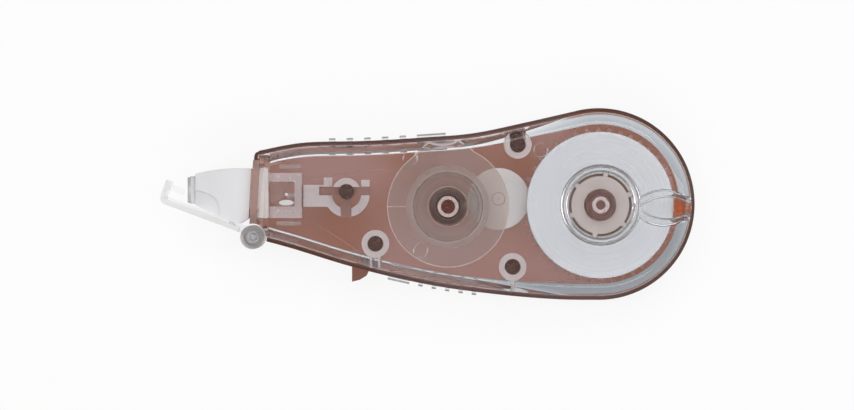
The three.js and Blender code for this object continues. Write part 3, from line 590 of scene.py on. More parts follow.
# The oval mark near the upper edge, and the small ribs that tie the lower sockets to the wall
THUMB_AT, THUMB_TILT, THUMB_STEPS = (-0.93, 11.45), 3, 48
THUMB_OUTER, THUMB_INNER = (2.85, 0.55), (2.4, 0.3)
SOCKET_RIBS = (("lower_front", -0.85, 0.22), ("lower_front", 0.75, 0.22), ("lower_rear", 0, 0.3))
SOCKET_RIB_REACH, SOCKET_SOFT = 2.4 * MM, 0.25 * MM

# What opens two sockets, as left, right, lower and upper reach from the post
UPPER_SLOT = (-1.6, 1.5, 0.8, 4)
YOKE_SLOT = (-4, 4, -4, TEE_BAR[3])


def cover_tube(name, at, inner, outer, depth, soft):
    """A tube under the front face with a bevelled lower rim."""
    low, high = COVER - depth, COVER - 2 * HAIR
    profile = ((inner, low + soft), (inner + soft, low), (outer - soft, low), (outer, low + soft),
               (outer, high), (inner, high))
    return lathe(name, profile, at, 64)


def thumb_ring():
    """A fine oval rib under the clear shell's shelf, joined to the sockets, whose whitish plastic is its
    painted highlight.
    """
    low, high = FRONT_SHELF[1] - 0.2 * MM, FRONT_SHELF[1] - 2 * HAIR
    at = ahead(THUMB_AT)
    ring = prism("thumb_ring", oval(at, *THUMB_OUTER, THUMB_STEPS, THUMB_TILT), low, high)
    room = prism("thumb_room", oval(at, *THUMB_INNER, THUMB_STEPS, THUMB_TILT), *THROUGH)
    return combined(ring, [room], "DIFFERENCE")


def socket_ribs():
    low, top = COVER - SOCKET_DEPTH + 0.4 * MM, COVER - 4 * HAIR
    ribs = []
    for name, shift, half in SOCKET_RIBS:
        post = POSTS[name]
        edge = edge_at(post.x, False)[0] + WALL - 0.1 * MM
        ribs.append(block("rib", post.x + (shift - half) * MM, post.x + (shift + half) * MM,
                          edge, post.y - SOCKET_RIB_REACH, low, top))
    return ribs


def slot_by(post, reach):
    left, right, lower, upper = (side * MM for side in reach)
    return block("slot", post.x + left, post.x + right, post.y + lower, post.y + upper, *THROUGH)


def build_sockets():
    """The rings that take the back shell's pins, two of them open on one side, in a whitish plastic that is
    painted reflection, the light clear tubes reflect inside.
    """
    sizes = SOCKET_INNER, SOCKET_OUTER, SOCKET_DEPTH, SOCKET_SOFT
    rings = [cover_tube("socket", post, *sizes) for post in POSTS.values()]
    sockets = combined(rings[0], [*rings[1:], *socket_ribs(), thumb_ring()], "UNION")
    slots = [slot_by(POSTS["upper"], UPPER_SLOT), slot_by(POSTS["yoke"], YOKE_SLOT)]
    return combined(sockets, slots, "DIFFERENCE")


# Centring tubes of the clear half: the supply's and the take-up's radii, their depth and rims
BOSS_RADII = in_metres(((0.95, 1.67), (1.4, 2.07)))
BOSS_DEPTH, BOSS_SOFT = 3.5 * MM, 0.15 * MM


def build_bosses():
    """The short centring tubes of the clear half, over the two shafts."""
    supply = cover_tube("boss", SUPPLY, *BOSS_RADII[0], BOSS_DEPTH, BOSS_SOFT)
    return combined(supply, [cover_tube("boss", TAKEUP, *BOSS_RADII[1], BOSS_DEPTH, BOSS_SOFT)], "UNION")


# The pointed oval window between the ring and the tail, from the supply axis, and its rounded rim
LENS_LEFT, LENS_RIGHT, LENS_DROP = 7.88, 18.1, 0.55
LENS_HALF, LENS_BOW, LENS_STEPS = 2.03, 0.75, 24
LENS_GROWTH = (1.78, 0.4, 1.62)
LENS_DEPTH = 1.1 * MM
LENS_END_FOOT = 11.2 * MM
LENS_RIB_HALF = 0.07 * MM


def lens_half(t):
    """How far the window is open at a share of its length, up to 1 in its middle."""
    return (4 * t * (1 - t)) ** LENS_BOW


def lens_plan(grow):
    """The window's outline, growing from the rim's inner line to its outer one."""
    left = SUPPLY.x + (LENS_LEFT - grow * LENS_GROWTH[0]) * MM
    right = SUPPLY.x + (LENS_RIGHT + grow * LENS_GROWTH[1]) * MM
    y = SUPPLY.y - LENS_DROP * MM
    half = (LENS_HALF + grow * LENS_GROWTH[2]) * MM
    plan = []
    for side in (-1, 1):
        for k in range(LENS_STEPS):
            t = k / LENS_STEPS if side < 0 else 1 - k / LENS_STEPS
            plan.append((left + (right - left) * t, y + side * half * lens_half(t)))
    return plan


def bead_ring(at, inner, outer, depth):
    """A ring under the front face with a round underside."""
    middle, half = (inner + outer) / 2, (outer - inner) / 2
    top = COVER + WALL / 2
    arc = [(middle - half * math.cos(a), COVER - depth * math.sin(a)) for a in half_turn(12)]
    return lathe("bead_ring", [(outer, top), (inner, top), *arc], at, 120)


def lens_rim(name, top, foot, opening):
    """A solid under the grown window outline, with a round underside towards its inner line."""
    loops = [plan_loop(lens_plan(1), top)]
    for a in half_turn(10):
        loops.append(plan_loop(lens_plan(0.5 + 0.5 * math.cos(a)), foot - LENS_DEPTH * math.sin(a)))
    loops.append(plan_loop(lens_plan(0), opening))
    return skinned(name, loops)


def lens_bead():
    """The window's rim under the front face, carried out to the tail's edge."""
    top = CASE_THICKNESS - 2 * HAIR
    bead = lens_rim("lens_bead", top, COVER, COVER)
    end = lens_rim("lens_end", top - HAIR, LENS_END_FOOT, COVER + 2 * HAIR)
    past_pack = SUPPLY.x + PACK_OUTER + AXIAL_GAP
    beyond_pack = block("beyond", past_pack, past_pack + 10 * MM, -10 * MM, 10 * MM, *THROUGH)
    return combined(bead, [combined(end, [beyond_pack], "INTERSECT")], "UNION")


def lens_window():
    """The room under the window."""
    return prism("lens_window", lens_plan(0.02), 5 * MM, COVER + 0.05 * MM)


def lens_ribs():
    """Fine ribs under the window inside its rim."""
    ribs = []
    y = SUPPLY.y - LENS_DROP * MM
    for k in range(18):
        t = 0.12 + 0.03 * k
        x = SUPPLY.x + (LENS_LEFT + (LENS_RIGHT - LENS_LEFT) * t) * MM
        half = LENS_HALF * MM * lens_half(t) - 0.15 * MM
        ribs.append(block("lens_rib", x - LENS_RIB_HALF, x + LENS_RIB_HALF, y - half, y + half,
                          COVER - 0.1 * MM, COVER + 0.3 * MM))
    return ribs


# Rings under the front face as inner radius, outer radius and depth
SUPPLY_RING = (6.5 * MM, 7.95 * MM, 1.3 * MM)
KNOB_RING = (0.35 * MM, 1.2 * MM, 1.2 * MM)
KNOB_RING_AT = (7.3, -0.5)
MARK_RING = (1.28 * MM, 1.45 * MM, 0.1 * MM)
EJECTOR_MARKS = ((-7.4, 9.3), (-5.4, -8.9), (18.2, 10.8))

# Fine bars beside the mouth as left, right, lower and upper line, and how many hairs lower on top
MOUTH_LINES = ((-37.3, -37.14, -2.4, 9.7, 0), (-36.8, -36.66, -2.4, 7.6, 0), (-37.2, -34.4, 9.5, 9.64, 1),
               (-34.9, -34.76, 6.6, 9.4, 0), (-35.2, -35.06, -4.9, -1.2, 0))


def front_beads():
    ring = bead_ring(SUPPLY, *SUPPLY_RING)
    knob = bead_ring(from_supply(*KNOB_RING_AT), *KNOB_RING)
    lens = combined(lens_bead(), [shell_fill(FRONT_LEDGE + 2 * HAIR, 1.3 * MM)], "INTERSECT")
    marks = [bead_ring(ahead(place), *MARK_RING) for place in EJECTOR_MARKS]
    return [ring, knob, lens, *marks, *mouth_lines()]


def mouth_lines():
    low, high = COVER - 0.4 * MM, COVER + 0.3 * MM
    return [slab("line", x0, x1, y0, y1, low, high - hairs * HAIR) for x0, x1, y0, y1, hairs in MOUTH_LINES]


def shell_fill(inset, radius):
    """The room inside the outline moved in by the inset, with a rounded upper edge."""
    loops = rounded_loops(inset, radius, CASE_THICKNESS - 2 * HAIR, -1, 7)
    return skinned("inside", [*loops, outline_loop(inset, -5 * MM)])


# Finger grips: long ones as middle, length and side, rows as first middle, pitch, length and side
LONG_GRIPS = ((-3.25, 5.7, True), (-9.65, 4.4, False))
GRIP_ROWS = ((-22.75, 3.47, 1.3, True), (-5.35, 2.62, 0.9, False))
ROW_COUNT = 5
GRIP_START, GRIP_STEP, GRIP_END = -FRONT_LEDGE - FRONT_WALL / 2, 0.26 * MM, 0.6 * MM


def grip(x_mm, length, upper, root, end):
    x = ahead((x_mm, 0)).x
    y, angle = edge_at(x, upper)
    low, high = SEAM + 0.8 * MM, CASE_THICKNESS - FRONT_ROUND
    made = block("grip", -length / 2 * MM, length / 2 * MM, root, end, low, high)
    outwards = Matrix.Rotation(angle + (0 if upper else math.pi), 4, "Z")
    made.data.transform(Matrix.Translation((x, y, 0)) @ outwards)
    return made


def build_grips(root, end):
    """The finger grips on both edges, from root to end beyond the case's outline."""
    places = list(LONG_GRIPS)
    for i in range(ROW_COUNT):
        places += [(first + pitch * i, length, upper) for first, pitch, length, upper in GRIP_ROWS]
    made = [grip(*place, root, end) for place in places]
    return combined(made[0], made[1:], "UNION")


EAR_REACH, EAR_WIDTH = 5.8 * MM, 1.6 * MM
EYE_RADIUS, HINGE_PIN_RADIUS, HINGE_PIN_HALF = 1.8 * MM, 1.1 * MM, 5.5 * MM


def hinge_lug():
    """The eye between the cap's ears, its web to the case and its pin."""
    low, high = SEAM + SEAM_GAP, MID + EAR_REACH - EAR_WIDTH - AXIAL_GAP
    x, y = HINGE.x, HINGE.y
    return [
        rod("eye", (x, y), EYE_RADIUS, low, high),
        block("web", x, x + KNOB_RADIUS + 1.2 * MM, y - 0.3 * MM, y + 1.5 * MM, low, high - HAIR),
        rod("hinge_pin", (x, y), HINGE_PIN_RADIUS, MID - HINGE_PIN_HALF, MID + HINGE_PIN_HALF),
    ]


def build_front_shell():
    outer = rounded_loops(FRONT_LEDGE, FRONT_ROUND, CASE_THICKNESS, -1, 12)
    inner = ramp_loops(FRONT_LEDGE + FRONT_WALL, COVER, 12)
    shell = shell_cup("case_front", FRONT_LEDGE, FRONT_WALL, outer, inner, SEAM + SEAM_GAP)
    combined(shell, front_beads(), "UNION")
    combined(shell, [lens_window()], "DIFFERENCE")
    combined(shell, lens_ribs(), "UNION")
    gap = AXIAL_GAP / MM
    room = slab("mouth_room", BEYOND_FRONT, FLANGE_BACK + gap, MOUTH_WALL_LOW - gap,
                MOUTH_WALL_HIGH + gap, 0, COVER)
    post_room = rod("post_room", POSTS["upper"], SOCKET_OUTER + 2 * HAIR, SEAM, COVER)
    combined(shell, [room, post_room, corner_trim(), hinge_bite()], "DIFFERENCE")
    return combined(shell, [*hinge_lug(), build_grips(GRIP_START, GRIP_STEP)], "UNION")


def build_mouth_wall():
    return combined(mouth_wall(), [mouth_opening(), corner_trim(), hinge_bite()], "DIFFERENCE")


# Radius and height of the disc over the idler's teeth, from its underside to the dot in its middle
IDLER_DISC = ((0, 3.56), (6, 3.56), (6.1, 3.61), (6.1, 3.71), (6, 3.76), (1.4, 3.76), (1.34, 3.86),
              (1.2, 3.86), (1.14, 3.76), (0.3, 3.76), (0.2, 3.91), (0, 3.96))
# Radius, half width and height of the fine ring whose darker plastic is painted shade
IDLER_SHADE_RING = (1.25, 0.075, 3.84 * MM)
IDLER_DOT = (0.16 * MM, 3.8 * MM, 3.98 * MM)

# Fine round lines on the take-up reel's front flange as radius and half width
FLANGE_TOP = 11.05 * MM
REEL_LINES = ((11.88, 0.07), (6.98, 0.06), (3.95, 0.05))
REEL_EDGE = (6.83, 0.09)


def build_idler_cap():
    """The thin disc that covers the idler's teeth, with a small boss in a fine ring."""
    return lathe("idler_cap", in_metres(IDLER_DISC), IDLER, 96)


def build_idler_shade_ring():
    """A fine ring and a dot on the idler's disc in a darker plastic; the ring is painted shade, the dark line
    a fine groove would show.
    """
    return combined(thin_bead(*IDLER_SHADE_RING, IDLER), [rod("dot", IDLER, *IDLER_DOT, 24, 0.04 * MM)], "UNION")


def thin_bead(radius, half, top, at=TAKEUP):
    """A fine raised ring with a round top."""
    profile = [((radius + half * math.cos(a)) * MM, top + half * MM * math.sin(a)) for a in half_turn(8)]
    profile += [((radius - half) * MM, top - 0.1 * MM), ((radius + half) * MM, top - 0.1 * MM)]
    return lathe("bead", profile, at, 128)


def build_reel_beads():
    """Fine raised lines on the take-up reel's front flange, and one across it."""
    beads = [thin_bead(*line, FLANGE_TOP) for line in REEL_LINES]
    half = 0.04 * MM
    mark = block("mark", TAKEUP.x - 11.8 * MM, TAKEUP.x - 6.9 * MM, TAKEUP.y - half, TAKEUP.y + half,
                 FLANGE_TOP - 0.1 * MM, FLANGE_TOP + 0.08 * MM)
    return combined(beads[0], [*beads[1:], mark], "UNION")


# A dark fine ring along the hub's edge on the front flange: painted shade, the dark line of that edge
def build_reel_edge():
    return thin_bead(*REEL_EDGE, FLANGE_TOP)


# Radius and height of the dark ring that is the slot's painted shade
GAP_SHADE_RING = in_metres(((5.74, 9.6), (6.16, 9.6), (6.16, 10.08), (5.74, 10.08)))
DISC_TABS, TAB_TURN, TAB_HALF = 6, 20, 0.52 * MM


def build_gap_shade_ring():
    """A dark ring in the slot round the disc, open at the disc's tabs: painted shade, a dark sheet where the
    gap holds only shadow.
    """
    lip = lathe("gap_shade_ring", GAP_SHADE_RING, SUPPLY, 96)
    rooms = []
    for i in range(DISC_TABS):
        room = block("tab_room", 4 * MM, 8 * MM, -TAB_HALF, TAB_HALF, *THROUGH)
        turn = Matrix.Rotation(math.radians(i * 360 / DISC_TABS + TAB_TURN), 4, "Z")
        room.data.transform(Matrix.Translation((SUPPLY.x, SUPPLY.y, 0)) @ turn)
        rooms.append(room)
    return combined(lip, rooms, "DIFFERENCE")


def cap_split(ears):
    """The cap's round ears or the rest of it."""
    part = copied_node("cap")
    round_ears = rod("ears", HINGE, KNOB_RADIUS + 2 * HAIR, *THROUGH)
    return combined(part, [round_ears], "INTERSECT" if ears else "DIFFERENCE")


# Place, size and height of the painted highlights in the head's window, a dot and an oval
GLINT_DOT_AT, GLINT_DOT_RADIUS, GLINT_DOT_HEIGHT = (-31.8, 2.1), 0.32 * MM, 10.3 * MM
GLINT_OVAL_AT, GLINT_OVAL_SIZE, GLINT_OVAL_HEIGHTS = (-31.8, 0.45), (1.45, 0.55), (9.6 * MM, 9.9 * MM)


def build_window_glints():
    """A white dot and a white oval seen in the head's window: painted highlights, where the white tape inside
    reflects light.
    """
    side = [(GLINT_DOT_RADIUS * math.sin(a), GLINT_DOT_HEIGHT - GLINT_DOT_RADIUS * math.cos(a)) for a in half_turn(8)[1:-1]]
    dot_profile = [(0, GLINT_DOT_HEIGHT - GLINT_DOT_RADIUS), *side, (0, GLINT_DOT_HEIGHT + GLINT_DOT_RADIUS)]
    dot_solid = lathe("glint_dot", dot_profile, ahead(GLINT_DOT_AT), 32)
    foot = prism("glint_oval", oval(ahead(GLINT_OVAL_AT), *GLINT_OVAL_SIZE, 32), *GLINT_OVAL_HEIGHTS)
    return combined(dot_solid, [foot], "UNION")


def build_flange_face():
    """The white face of the head's flange behind the mouth."""
    low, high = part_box("head_holder")
    depth = (FLANGE_BACK - FLANGE_FRONT) * MM
    edge = 0.04 * MM
    return block("flange_face", low[0] + edge, low[0] + depth, low[1] + edge, high[1] - edge,
                 high[2] - 0.1 * MM, high[2] + 0.15 * MM)


# Places of the slim post, its oval head and the dot on it from the supply axis, and their sizes
TAIL_POST_AT, TAIL_HEAD_AT, TAIL_DOT_AT = (16.18, -0.6), (15.35, -0.5), (15.55, -0.6)
TAIL_POST_RADIUS, TAIL_HEAD, TAIL_DOT_RADIUS = 0.6 * MM, (0.95, 1.6), 0.7 * MM


def build_tail_post():
    """A slim post with an oval head beside the tape pack."""
    post = rod("tail_post", from_supply(*TAIL_POST_AT), TAIL_POST_RADIUS, WALL, TAPE_TOP + 0.6 * MM)
    plan = oval(from_supply(*TAIL_HEAD_AT), *TAIL_HEAD, 40)
    head = prism("tail_head", plan, TAPE_TOP + 0.3 * MM, TAPE_TOP + 1 * MM)
    dot = rod("tail_dot", from_supply(*TAIL_DOT_AT), TAIL_DOT_RADIUS,
              TAPE_TOP + 0.5 * MM, TAPE_TOP + 1.5 * MM)
    return combined(post, [head, dot], "UNION")


PACK_TURNS, TURN_STEP = 70, 0.05


def build_tape_pack():
    """The wound tape, with the fine steps of its turns on both flat sides."""
    low, high = MID - TAPE_HALF, MID + TAPE_HALF
    upper, lower = [], []
    for k in range(PACK_TURNS + 1):
        radius = PACK_INNER + (PACK_OUTER - PACK_INNER) * k / PACK_TURNS
        upper.append((radius, high - random.uniform(0, TURN_STEP) * MM))
        lower.append((radius, low + random.uniform(0, TURN_STEP) * MM))
    return lathe("wound_tape", [*upper, *reversed(lower)], SUPPLY, 160)


# Materials


def set_inputs(node, values):
    for name, value in values.items():
        node.inputs[name].default_value = value


class Surface:
    """A procedural material being put together around one Principled shader."""

    def __init__(self, name, colour, roughness):
        self.material = bpy.data.materials.new(name)
        self.material.use_nodes = True
        self.tree = self.material.node_tree
        self.tree.nodes.clear()
        self.output = self.tree.nodes.new("ShaderNodeOutputMaterial")
        self.shader = self.tree.nodes.new("ShaderNodeBsdfPrincipled")
        set_inputs(self.shader, {"Base Color": (*colour, 1), "Roughness": roughness})
        self.link(self.shader.outputs[0], self.output.inputs["Surface"])

    def node(self, kind, **settings):
        made = self.tree.nodes.new(kind)
        for key, value in settings.items():
            setattr(made, key, value)
        return made

    def link(self, source, target):
        self.tree.links.new(source, target)

    def noise(self, scale, detail=4):
        """Noise in object coordinates, in lumps per metre."""
        place = self.node("ShaderNodeTexCoord")
        texture = self.node("ShaderNodeTexNoise")
        set_inputs(texture, {"Scale": scale, "Detail": detail})
        self.link(place.outputs["Object"], texture.inputs["Vector"])
        return texture.outputs["Fac"]

    def maths(self, operation, *sources):
        """One step of arithmetic on numbers and other nodes' outputs."""
        made = self.node("ShaderNodeMath", operation=operation)
        for place, source in zip(made.inputs, sources):
            if isinstance(source, float):
                place.default_value = source
            else:
                self.link(source, place)
        return made.outputs[0]

    def ranged(self, source, low, high, start=0.3, end=0.7):
        remap = self.node("ShaderNodeMapRange")
        set_inputs(remap, {"From Min": start, "From Max": end, "To Min": low, "To Max": high})
        self.link(source, remap.inputs["Value"])
        return remap.outputs[0]

    def vary_roughness(self, source, low, high):
        self.link(self.ranged(source, low, high), self.shader.inputs["Roughness"])

    def vary_colour(self, source, first, second, start=0.3, end=0.7):
        ramp = self.node("ShaderNodeValToRGB")
        ramp.color_ramp.elements[0].position = start
        ramp.color_ramp.elements[0].color = (*first, 1)
        ramp.color_ramp.elements[1].position = end
        ramp.color_ramp.elements[1].color = (*second, 1)
        self.link(source, ramp.inputs[0])
        self.link(ramp.outputs[0], self.shader.inputs["Base Color"])

    def bump(self, source, strength, depth_mm):
        bump = self.node("ShaderNodeBump")
        set_inputs(bump, {"Strength": strength, "Distance": depth_mm * MM})
        self.link(source, bump.inputs["Height"])
        self.link(bump.outputs[0], self.shader.inputs["Normal"])

    def scattering(self, share, depth):
        set_inputs(self.shader, {"Subsurface Weight": share, "Subsurface Scale": depth,
                                 "Subsurface Radius": (1, 1, 1)})

    def clear_in_shadow(self, colour):
        """Lets light through to what is inside, as the plastic does."""
        path = self.node("ShaderNodeLightPath")
        through = self.node("ShaderNodeBsdfTransparent")
        set_inputs(through, {"Color": (*colour, 1)})
        mix = self.node("ShaderNodeMixShader")
        self.link(path.outputs["Is Shadow Ray"], mix.inputs[0])
        self.link(self.shader.outputs[0], mix.inputs[1])
        self.link(through.outputs[0], mix.inputs[2])
        self.link(mix.outputs[0], self.output.inputs["Surface"])

    def absorbing(self, colour, density):
        volume = self.node("ShaderNodeVolumeAbsorption")
        set_inputs(volume, {"Color": (*colour, 1), "Density": density})
        self.link(volume.outputs[0], self.output.inputs["Volume"])


def made_material(name, colour, roughness, grain, spread, through=0, ior=1.46, detail=4, shadow=None,
                  absorbed=None, scatter=None, mottle=None, waves=None, bump=None):
    """A plastic, tape or rubber whose roughness spreads with a fine grain.

    through is the share of light let in, shadow the light left behind it, absorbed a colour and a
    density, scatter a share and a depth. mottle is a coarser noise, two colours and their range.
    bump is a strength and a depth in millimetres for the grain, and waves the same after a noise.
    """
    surface = Surface(name, colour, roughness)
    set_inputs(surface.shader, {"IOR": ior, "Transmission Weight": through})
    fine = surface.noise(grain, detail)
    surface.vary_roughness(fine, *spread)
    if scatter:
        surface.scattering(*scatter)
    if mottle:
        surface.vary_colour(surface.noise(*mottle[0]), *mottle[1:])
    if waves:
        surface.bump(surface.noise(*waves[0]), *waves[1:])
    if bump:
        surface.bump(fine, *bump)
    if shadow:
        surface.clear_in_shadow(shadow)
    if absorbed:
        surface.absorbing(*absorbed)
    return surface.material


# Colour, roughness, grain in lumps per metre and the roughness it spreads over, then the rest by name
LOOKS = {
    "clear_plastic": ((1, 1, 1), 0.03, 500, (0.015, 0.05), dict(
        through=1, waves=((60, 2), 0.25, 0.02), shadow=(0.96, 0.97, 0.98), absorbed=((0.5, 0.53, 0.6), 80))),
    "cap_plastic": ((1, 1, 1), 0.03, 600, (0.02, 0.07), dict(
        through=1, shadow=(0.95, 0.95, 0.96), absorbed=((0.5, 0.48, 0.47), 30))),
    "knob_plastic": ((0.95, 0.94, 0.94), 0.1, 700, (0.05, 0.16), dict(
        detail=5, through=0.93, waves=((300, 3), 0.3, 0.03), shadow=(0.8, 0.79, 0.78),
        absorbed=((0.5, 0.46, 0.45), 430))),
    "grip_plastic": ((0.8, 0.79, 0.8), 0.1, 700, (0.08, 0.2), dict(
        through=0.85, shadow=(0.85, 0.85, 0.86), absorbed=((0.5, 0.48, 0.48), 330))),
    "socket_reflection_plastic": ((0.66, 0.57, 0.56), 0.4, 1200, (0.32, 0.48), dict(
        through=0.35, shadow=(0.8, 0.78, 0.78))),
    "boss_plastic": ((0.8, 0.7, 0.68), 0.3, 900, (0.22, 0.36), dict(through=0.55, shadow=(0.85, 0.82, 0.82))),
    "tinted_plastic": ((0.5, 0.27, 0.23), 0.04, 500, (0.02, 0.06), dict(
        through=0.8, mottle=((45, 1), (0.46, 0.21, 0.145), (0.56, 0.335, 0.305), 0.38, 0.62),
        shadow=(0.95, 0.93, 0.92), absorbed=((0.278, 0.111, 0.039), 200))),
    "wall_plastic": ((0.6, 0.4, 0.36), 0.15, 700, (0.1, 0.22), dict(through=0.5, shadow=(0.8, 0.75, 0.73))),
    "guide_plastic": ((0.88, 0.76, 0.74), 0.06, 700, (0.04, 0.12), dict(
        through=0.8, shadow=(0.85, 0.8, 0.79))),
    "rib_plastic": ((0.52, 0.31, 0.27), 0.1, 700, (0.06, 0.16), dict(through=0.55, shadow=(0.75, 0.7, 0.68))),
    "pin_plastic": ((0.1, 0.036, 0.022), 0.25, 900, (0.18, 0.35), dict(
        through=0.45, shadow=(0.6, 0.5, 0.45))),
    "shaft_plastic": ((0.15, 0.078, 0.06), 0.15, 900, (0.1, 0.22), dict(
        through=0.5, shadow=(0.7, 0.6, 0.55))),
    "warm_plastic": ((0.5, 0.13, 0.05), 0.25, 900, (0.18, 0.35), dict(through=0.2, shadow=(0.8, 0.6, 0.5))),
    "orange_plastic": ((0.5, 0.11, 0.02), 0.2, 900, (0.15, 0.3), dict(through=0.25, shadow=(0.9, 0.8, 0.7))),
    "reel_plastic": ((0.95, 0.9, 0.86), 0.06, 500, (0.04, 0.1), dict(
        through=0.975, shadow=(0.92, 0.9, 0.88), absorbed=((0.55, 0.42, 0.36), 28))),
    "milky_clear_plastic": ((0.9, 0.85, 0.84), 0.06, 500, (0.04, 0.09), dict(
        through=0.95, shadow=(0.94, 0.94, 0.94))),
    "edge_plastic": ((0.16, 0.16, 0.12), 0.2, 900, (0.15, 0.3), dict(through=0.35, shadow=(0.9, 0.9, 0.88))),
    "bead_plastic": ((0.78, 0.66, 0.6), 0.2, 900, (0.15, 0.3), dict(through=0.4, shadow=(0.9, 0.88, 0.86))),
    "gear_plastic": ((0.85, 0.72, 0.69), 0.3, 900, (0.24, 0.36), dict(
        through=0.82, ior=1.4, shadow=(0.8, 0.76, 0.75))),
    "idler_plastic": ((0.95, 0.89, 0.87), 0.45, 900, (0.38, 0.52), dict(
        through=0.05, ior=1.5, scatter=(0.5, 0.001))),
    "frosted_plastic": ((0.9, 0.9, 0.92), 0.42, 2500, (0.34, 0.52), dict(
        ior=1.5, scatter=(0.5, 0.0015), bump=(0.12, 0.01))),
    "translucent_plastic": ((0.53, 0.455, 0.45), 0.3, 1200, (0.24, 0.4), dict(
        ior=1.5, scatter=(0.6, 0.0015))),
    "holder_plastic": ((0.62, 0.51, 0.5), 0.2, 1200, (0.14, 0.3), dict(
        through=0.4, ior=1.5, shadow=(0.8, 0.76, 0.75))),
    "cream_plastic": ((0.52, 0.45, 0.42), 0.35, 1800, (0.28, 0.45), dict(
        ior=1.5, mottle=((300,), (0.5, 0.43, 0.4), (0.54, 0.47, 0.44)), bump=(0.1, 0.01))),
    "tape_white": ((0.66, 0.66, 0.68), 0.6, 3000, (0.5, 0.75), dict(ior=1.45, bump=(0.1, 0.01))),
    "tape_run_plastic": ((0.97, 0.93, 0.91), 0.1, 900, (0.05, 0.15), dict(
        through=0.95, ior=1.07, shadow=(0.95, 0.92, 0.9))),
    "backing_tape": ((0.85, 0.76, 0.73), 0.3, 1500, (0.25, 0.5), dict(
        through=0.88, ior=1.3, shadow=(0.7, 0.6, 0.56))),
    "dark_rubber": ((0.13, 0.075, 0.058), 0.7, 2500, (0.6, 0.85), dict(ior=1.5, bump=(0.3, 0.02))),
}
MATERIALS = {name: made_material(name, *look[:4], **look[4]) for name, look in LOOKS.items()}

# The floor's bright field, painted light that only clear and shiny pieces see: its middle and half length,
# and where it starts and stops fading
BRIGHT_CENTRE_X = -9 * MM
BRIGHT_HALF = 43 * MM
# The field's middle lies above the object's, so that the lower rim shows darker: painted shade
BRIGHT_CENTRE_Y = 7 * MM
BRIGHT_REACH = 21 * MM
BRIGHT_END = 46 * MM
# Far off, the painted light is dimmer and bluish, a painted blue cast in what the rim reflects
FAR_BRIGHTNESS = 0.3
FAR_REFLECTION_TINT = (0.84, 0.92, 1)
FLOOR_GLOW = 0.85


def floor_white():
    """White where it is seen; for what clear and shiny pieces show of it, painted light that is bright round
    the object and greyer and bluish away from it.
    """
    surface = Surface("floor_white", (1, 1, 1), 0.9)
    surface.shader.inputs["Specular IOR Level"].default_value = 0
    maths = surface.maths
    place = surface.node("ShaderNodeSeparateXYZ")
    surface.link(surface.node("ShaderNodeNewGeometry").outputs["Position"], place.inputs[0])
    along = maths("ABSOLUTE", maths("SUBTRACT", place.outputs["X"], BRIGHT_CENTRE_X))
    along = maths("MAXIMUM", maths("SUBTRACT", along, BRIGHT_HALF), 0.0)
    aside = maths("SUBTRACT", place.outputs["Y"], BRIGHT_CENTRE_Y)
    reach = maths("SQRT", maths("ADD", maths("MULTIPLY", along, along), maths("MULTIPLY", aside, aside)))
    field = surface.ranged(reach, 1, FAR_BRIGHTNESS, BRIGHT_REACH, BRIGHT_END)
    path = surface.node("ShaderNodeLightPath")
    seen = path.outputs["Is Camera Ray"]
    through = maths("MAXIMUM", path.outputs["Is Glossy Ray"], path.outputs["Is Transmission Ray"])
    glow = surface.node("ShaderNodeEmission")
    tint = surface.node("ShaderNodeValToRGB")
    tint.color_ramp.elements[0].position = FAR_BRIGHTNESS
    tint.color_ramp.elements[0].color = (*FAR_REFLECTION_TINT, 1)
    tint.color_ramp.elements[1].color = (1, 1, 1, 1)
    surface.link(maths("MAXIMUM", seen, field), tint.inputs[0])
    surface.link(tint.outputs[0], glow.inputs["Color"])
    surface.link(maths("MAXIMUM", seen, maths("MULTIPLY", through, field)), glow.inputs["Strength"])
    mix = surface.node("ShaderNodeMixShader")
    mix.inputs[0].default_value = FLOOR_GLOW
    surface.link(surface.shader.outputs[0], mix.inputs[1])
    surface.link(glow.outputs[0], mix.inputs[2])
    surface.link(mix.outputs[0], surface.output.inputs["Surface"])
    return surface.material


# Stage: camera, floor and lights

LENS, SENSOR, CLIP = 214, 36, (0.1, 10)
CAMERA_AT = (-0.21 * MM, SUPPLY.y, 1.009)
FLOOR_HALF, FLOOR_DROP = 3, 0.02 * MM
SKY_STRENGTH = 0.3

# Name, place, two sizes and power
LIGHTS = (
    ("top_light", (0, 0.45, 0.6), (0.9, 0.2), 1.7),
    ("low_light", (0, -0.5, 0.5), (0.9, 0.15), 1.15),
    ("tail_light", (0.5, 0.05, 0.6), (0.2, 0.8), 1.3),
    ("overhead_light", (-0.35, 0.15, 0.85), (0.4, 0.4), 0.9),
)


def build_camera():
    data = bpy.data.cameras.new("camera")
    data.lens = LENS
    data.sensor_width = SENSOR
    data.clip_start, data.clip_end = CLIP
    camera = bpy.data.objects.new("camera", data)
    camera.location = CAMERA_AT
    bpy.context.scene.collection.objects.link(camera)
    bpy.context.scene.camera = camera


def build_floor():
    bm = bmesh.new()
    half = FLOOR_HALF
    plan = ((-half, -half), (half, -half), (half, half), (-half, half))
    bm.faces.new([bm.verts.new((x, y, -FLOOR_DROP)) for x, y in plan])
    floor = new_object("floor", bm)
    put_material(floor, floor_white())


def area_light(name, at, sizes, power):
    """A rectangular light that faces the origin."""
    data = bpy.data.lights.new(name, "AREA")
    data.shape = "RECTANGLE"
    data.size, data.size_y = sizes
    data.energy = power
    lamp = bpy.data.objects.new(name, data)
    lamp.location = at
    lamp.rotation_mode = "QUATERNION"
    lamp.rotation_quaternion = (-Vector(at)).to_track_quat("-Z", "Y")
    bpy.context.scene.collection.objects.link(lamp)


def build_sky():
    world = bpy.data.worlds.new("world")
    bpy.context.scene.world = world
    world.use_nodes = True
    set_inputs(world.node_tree.nodes["Background"], {"Color": (1, 1, 1, 1), "Strength": SKY_STRENGTH})


# Assembly


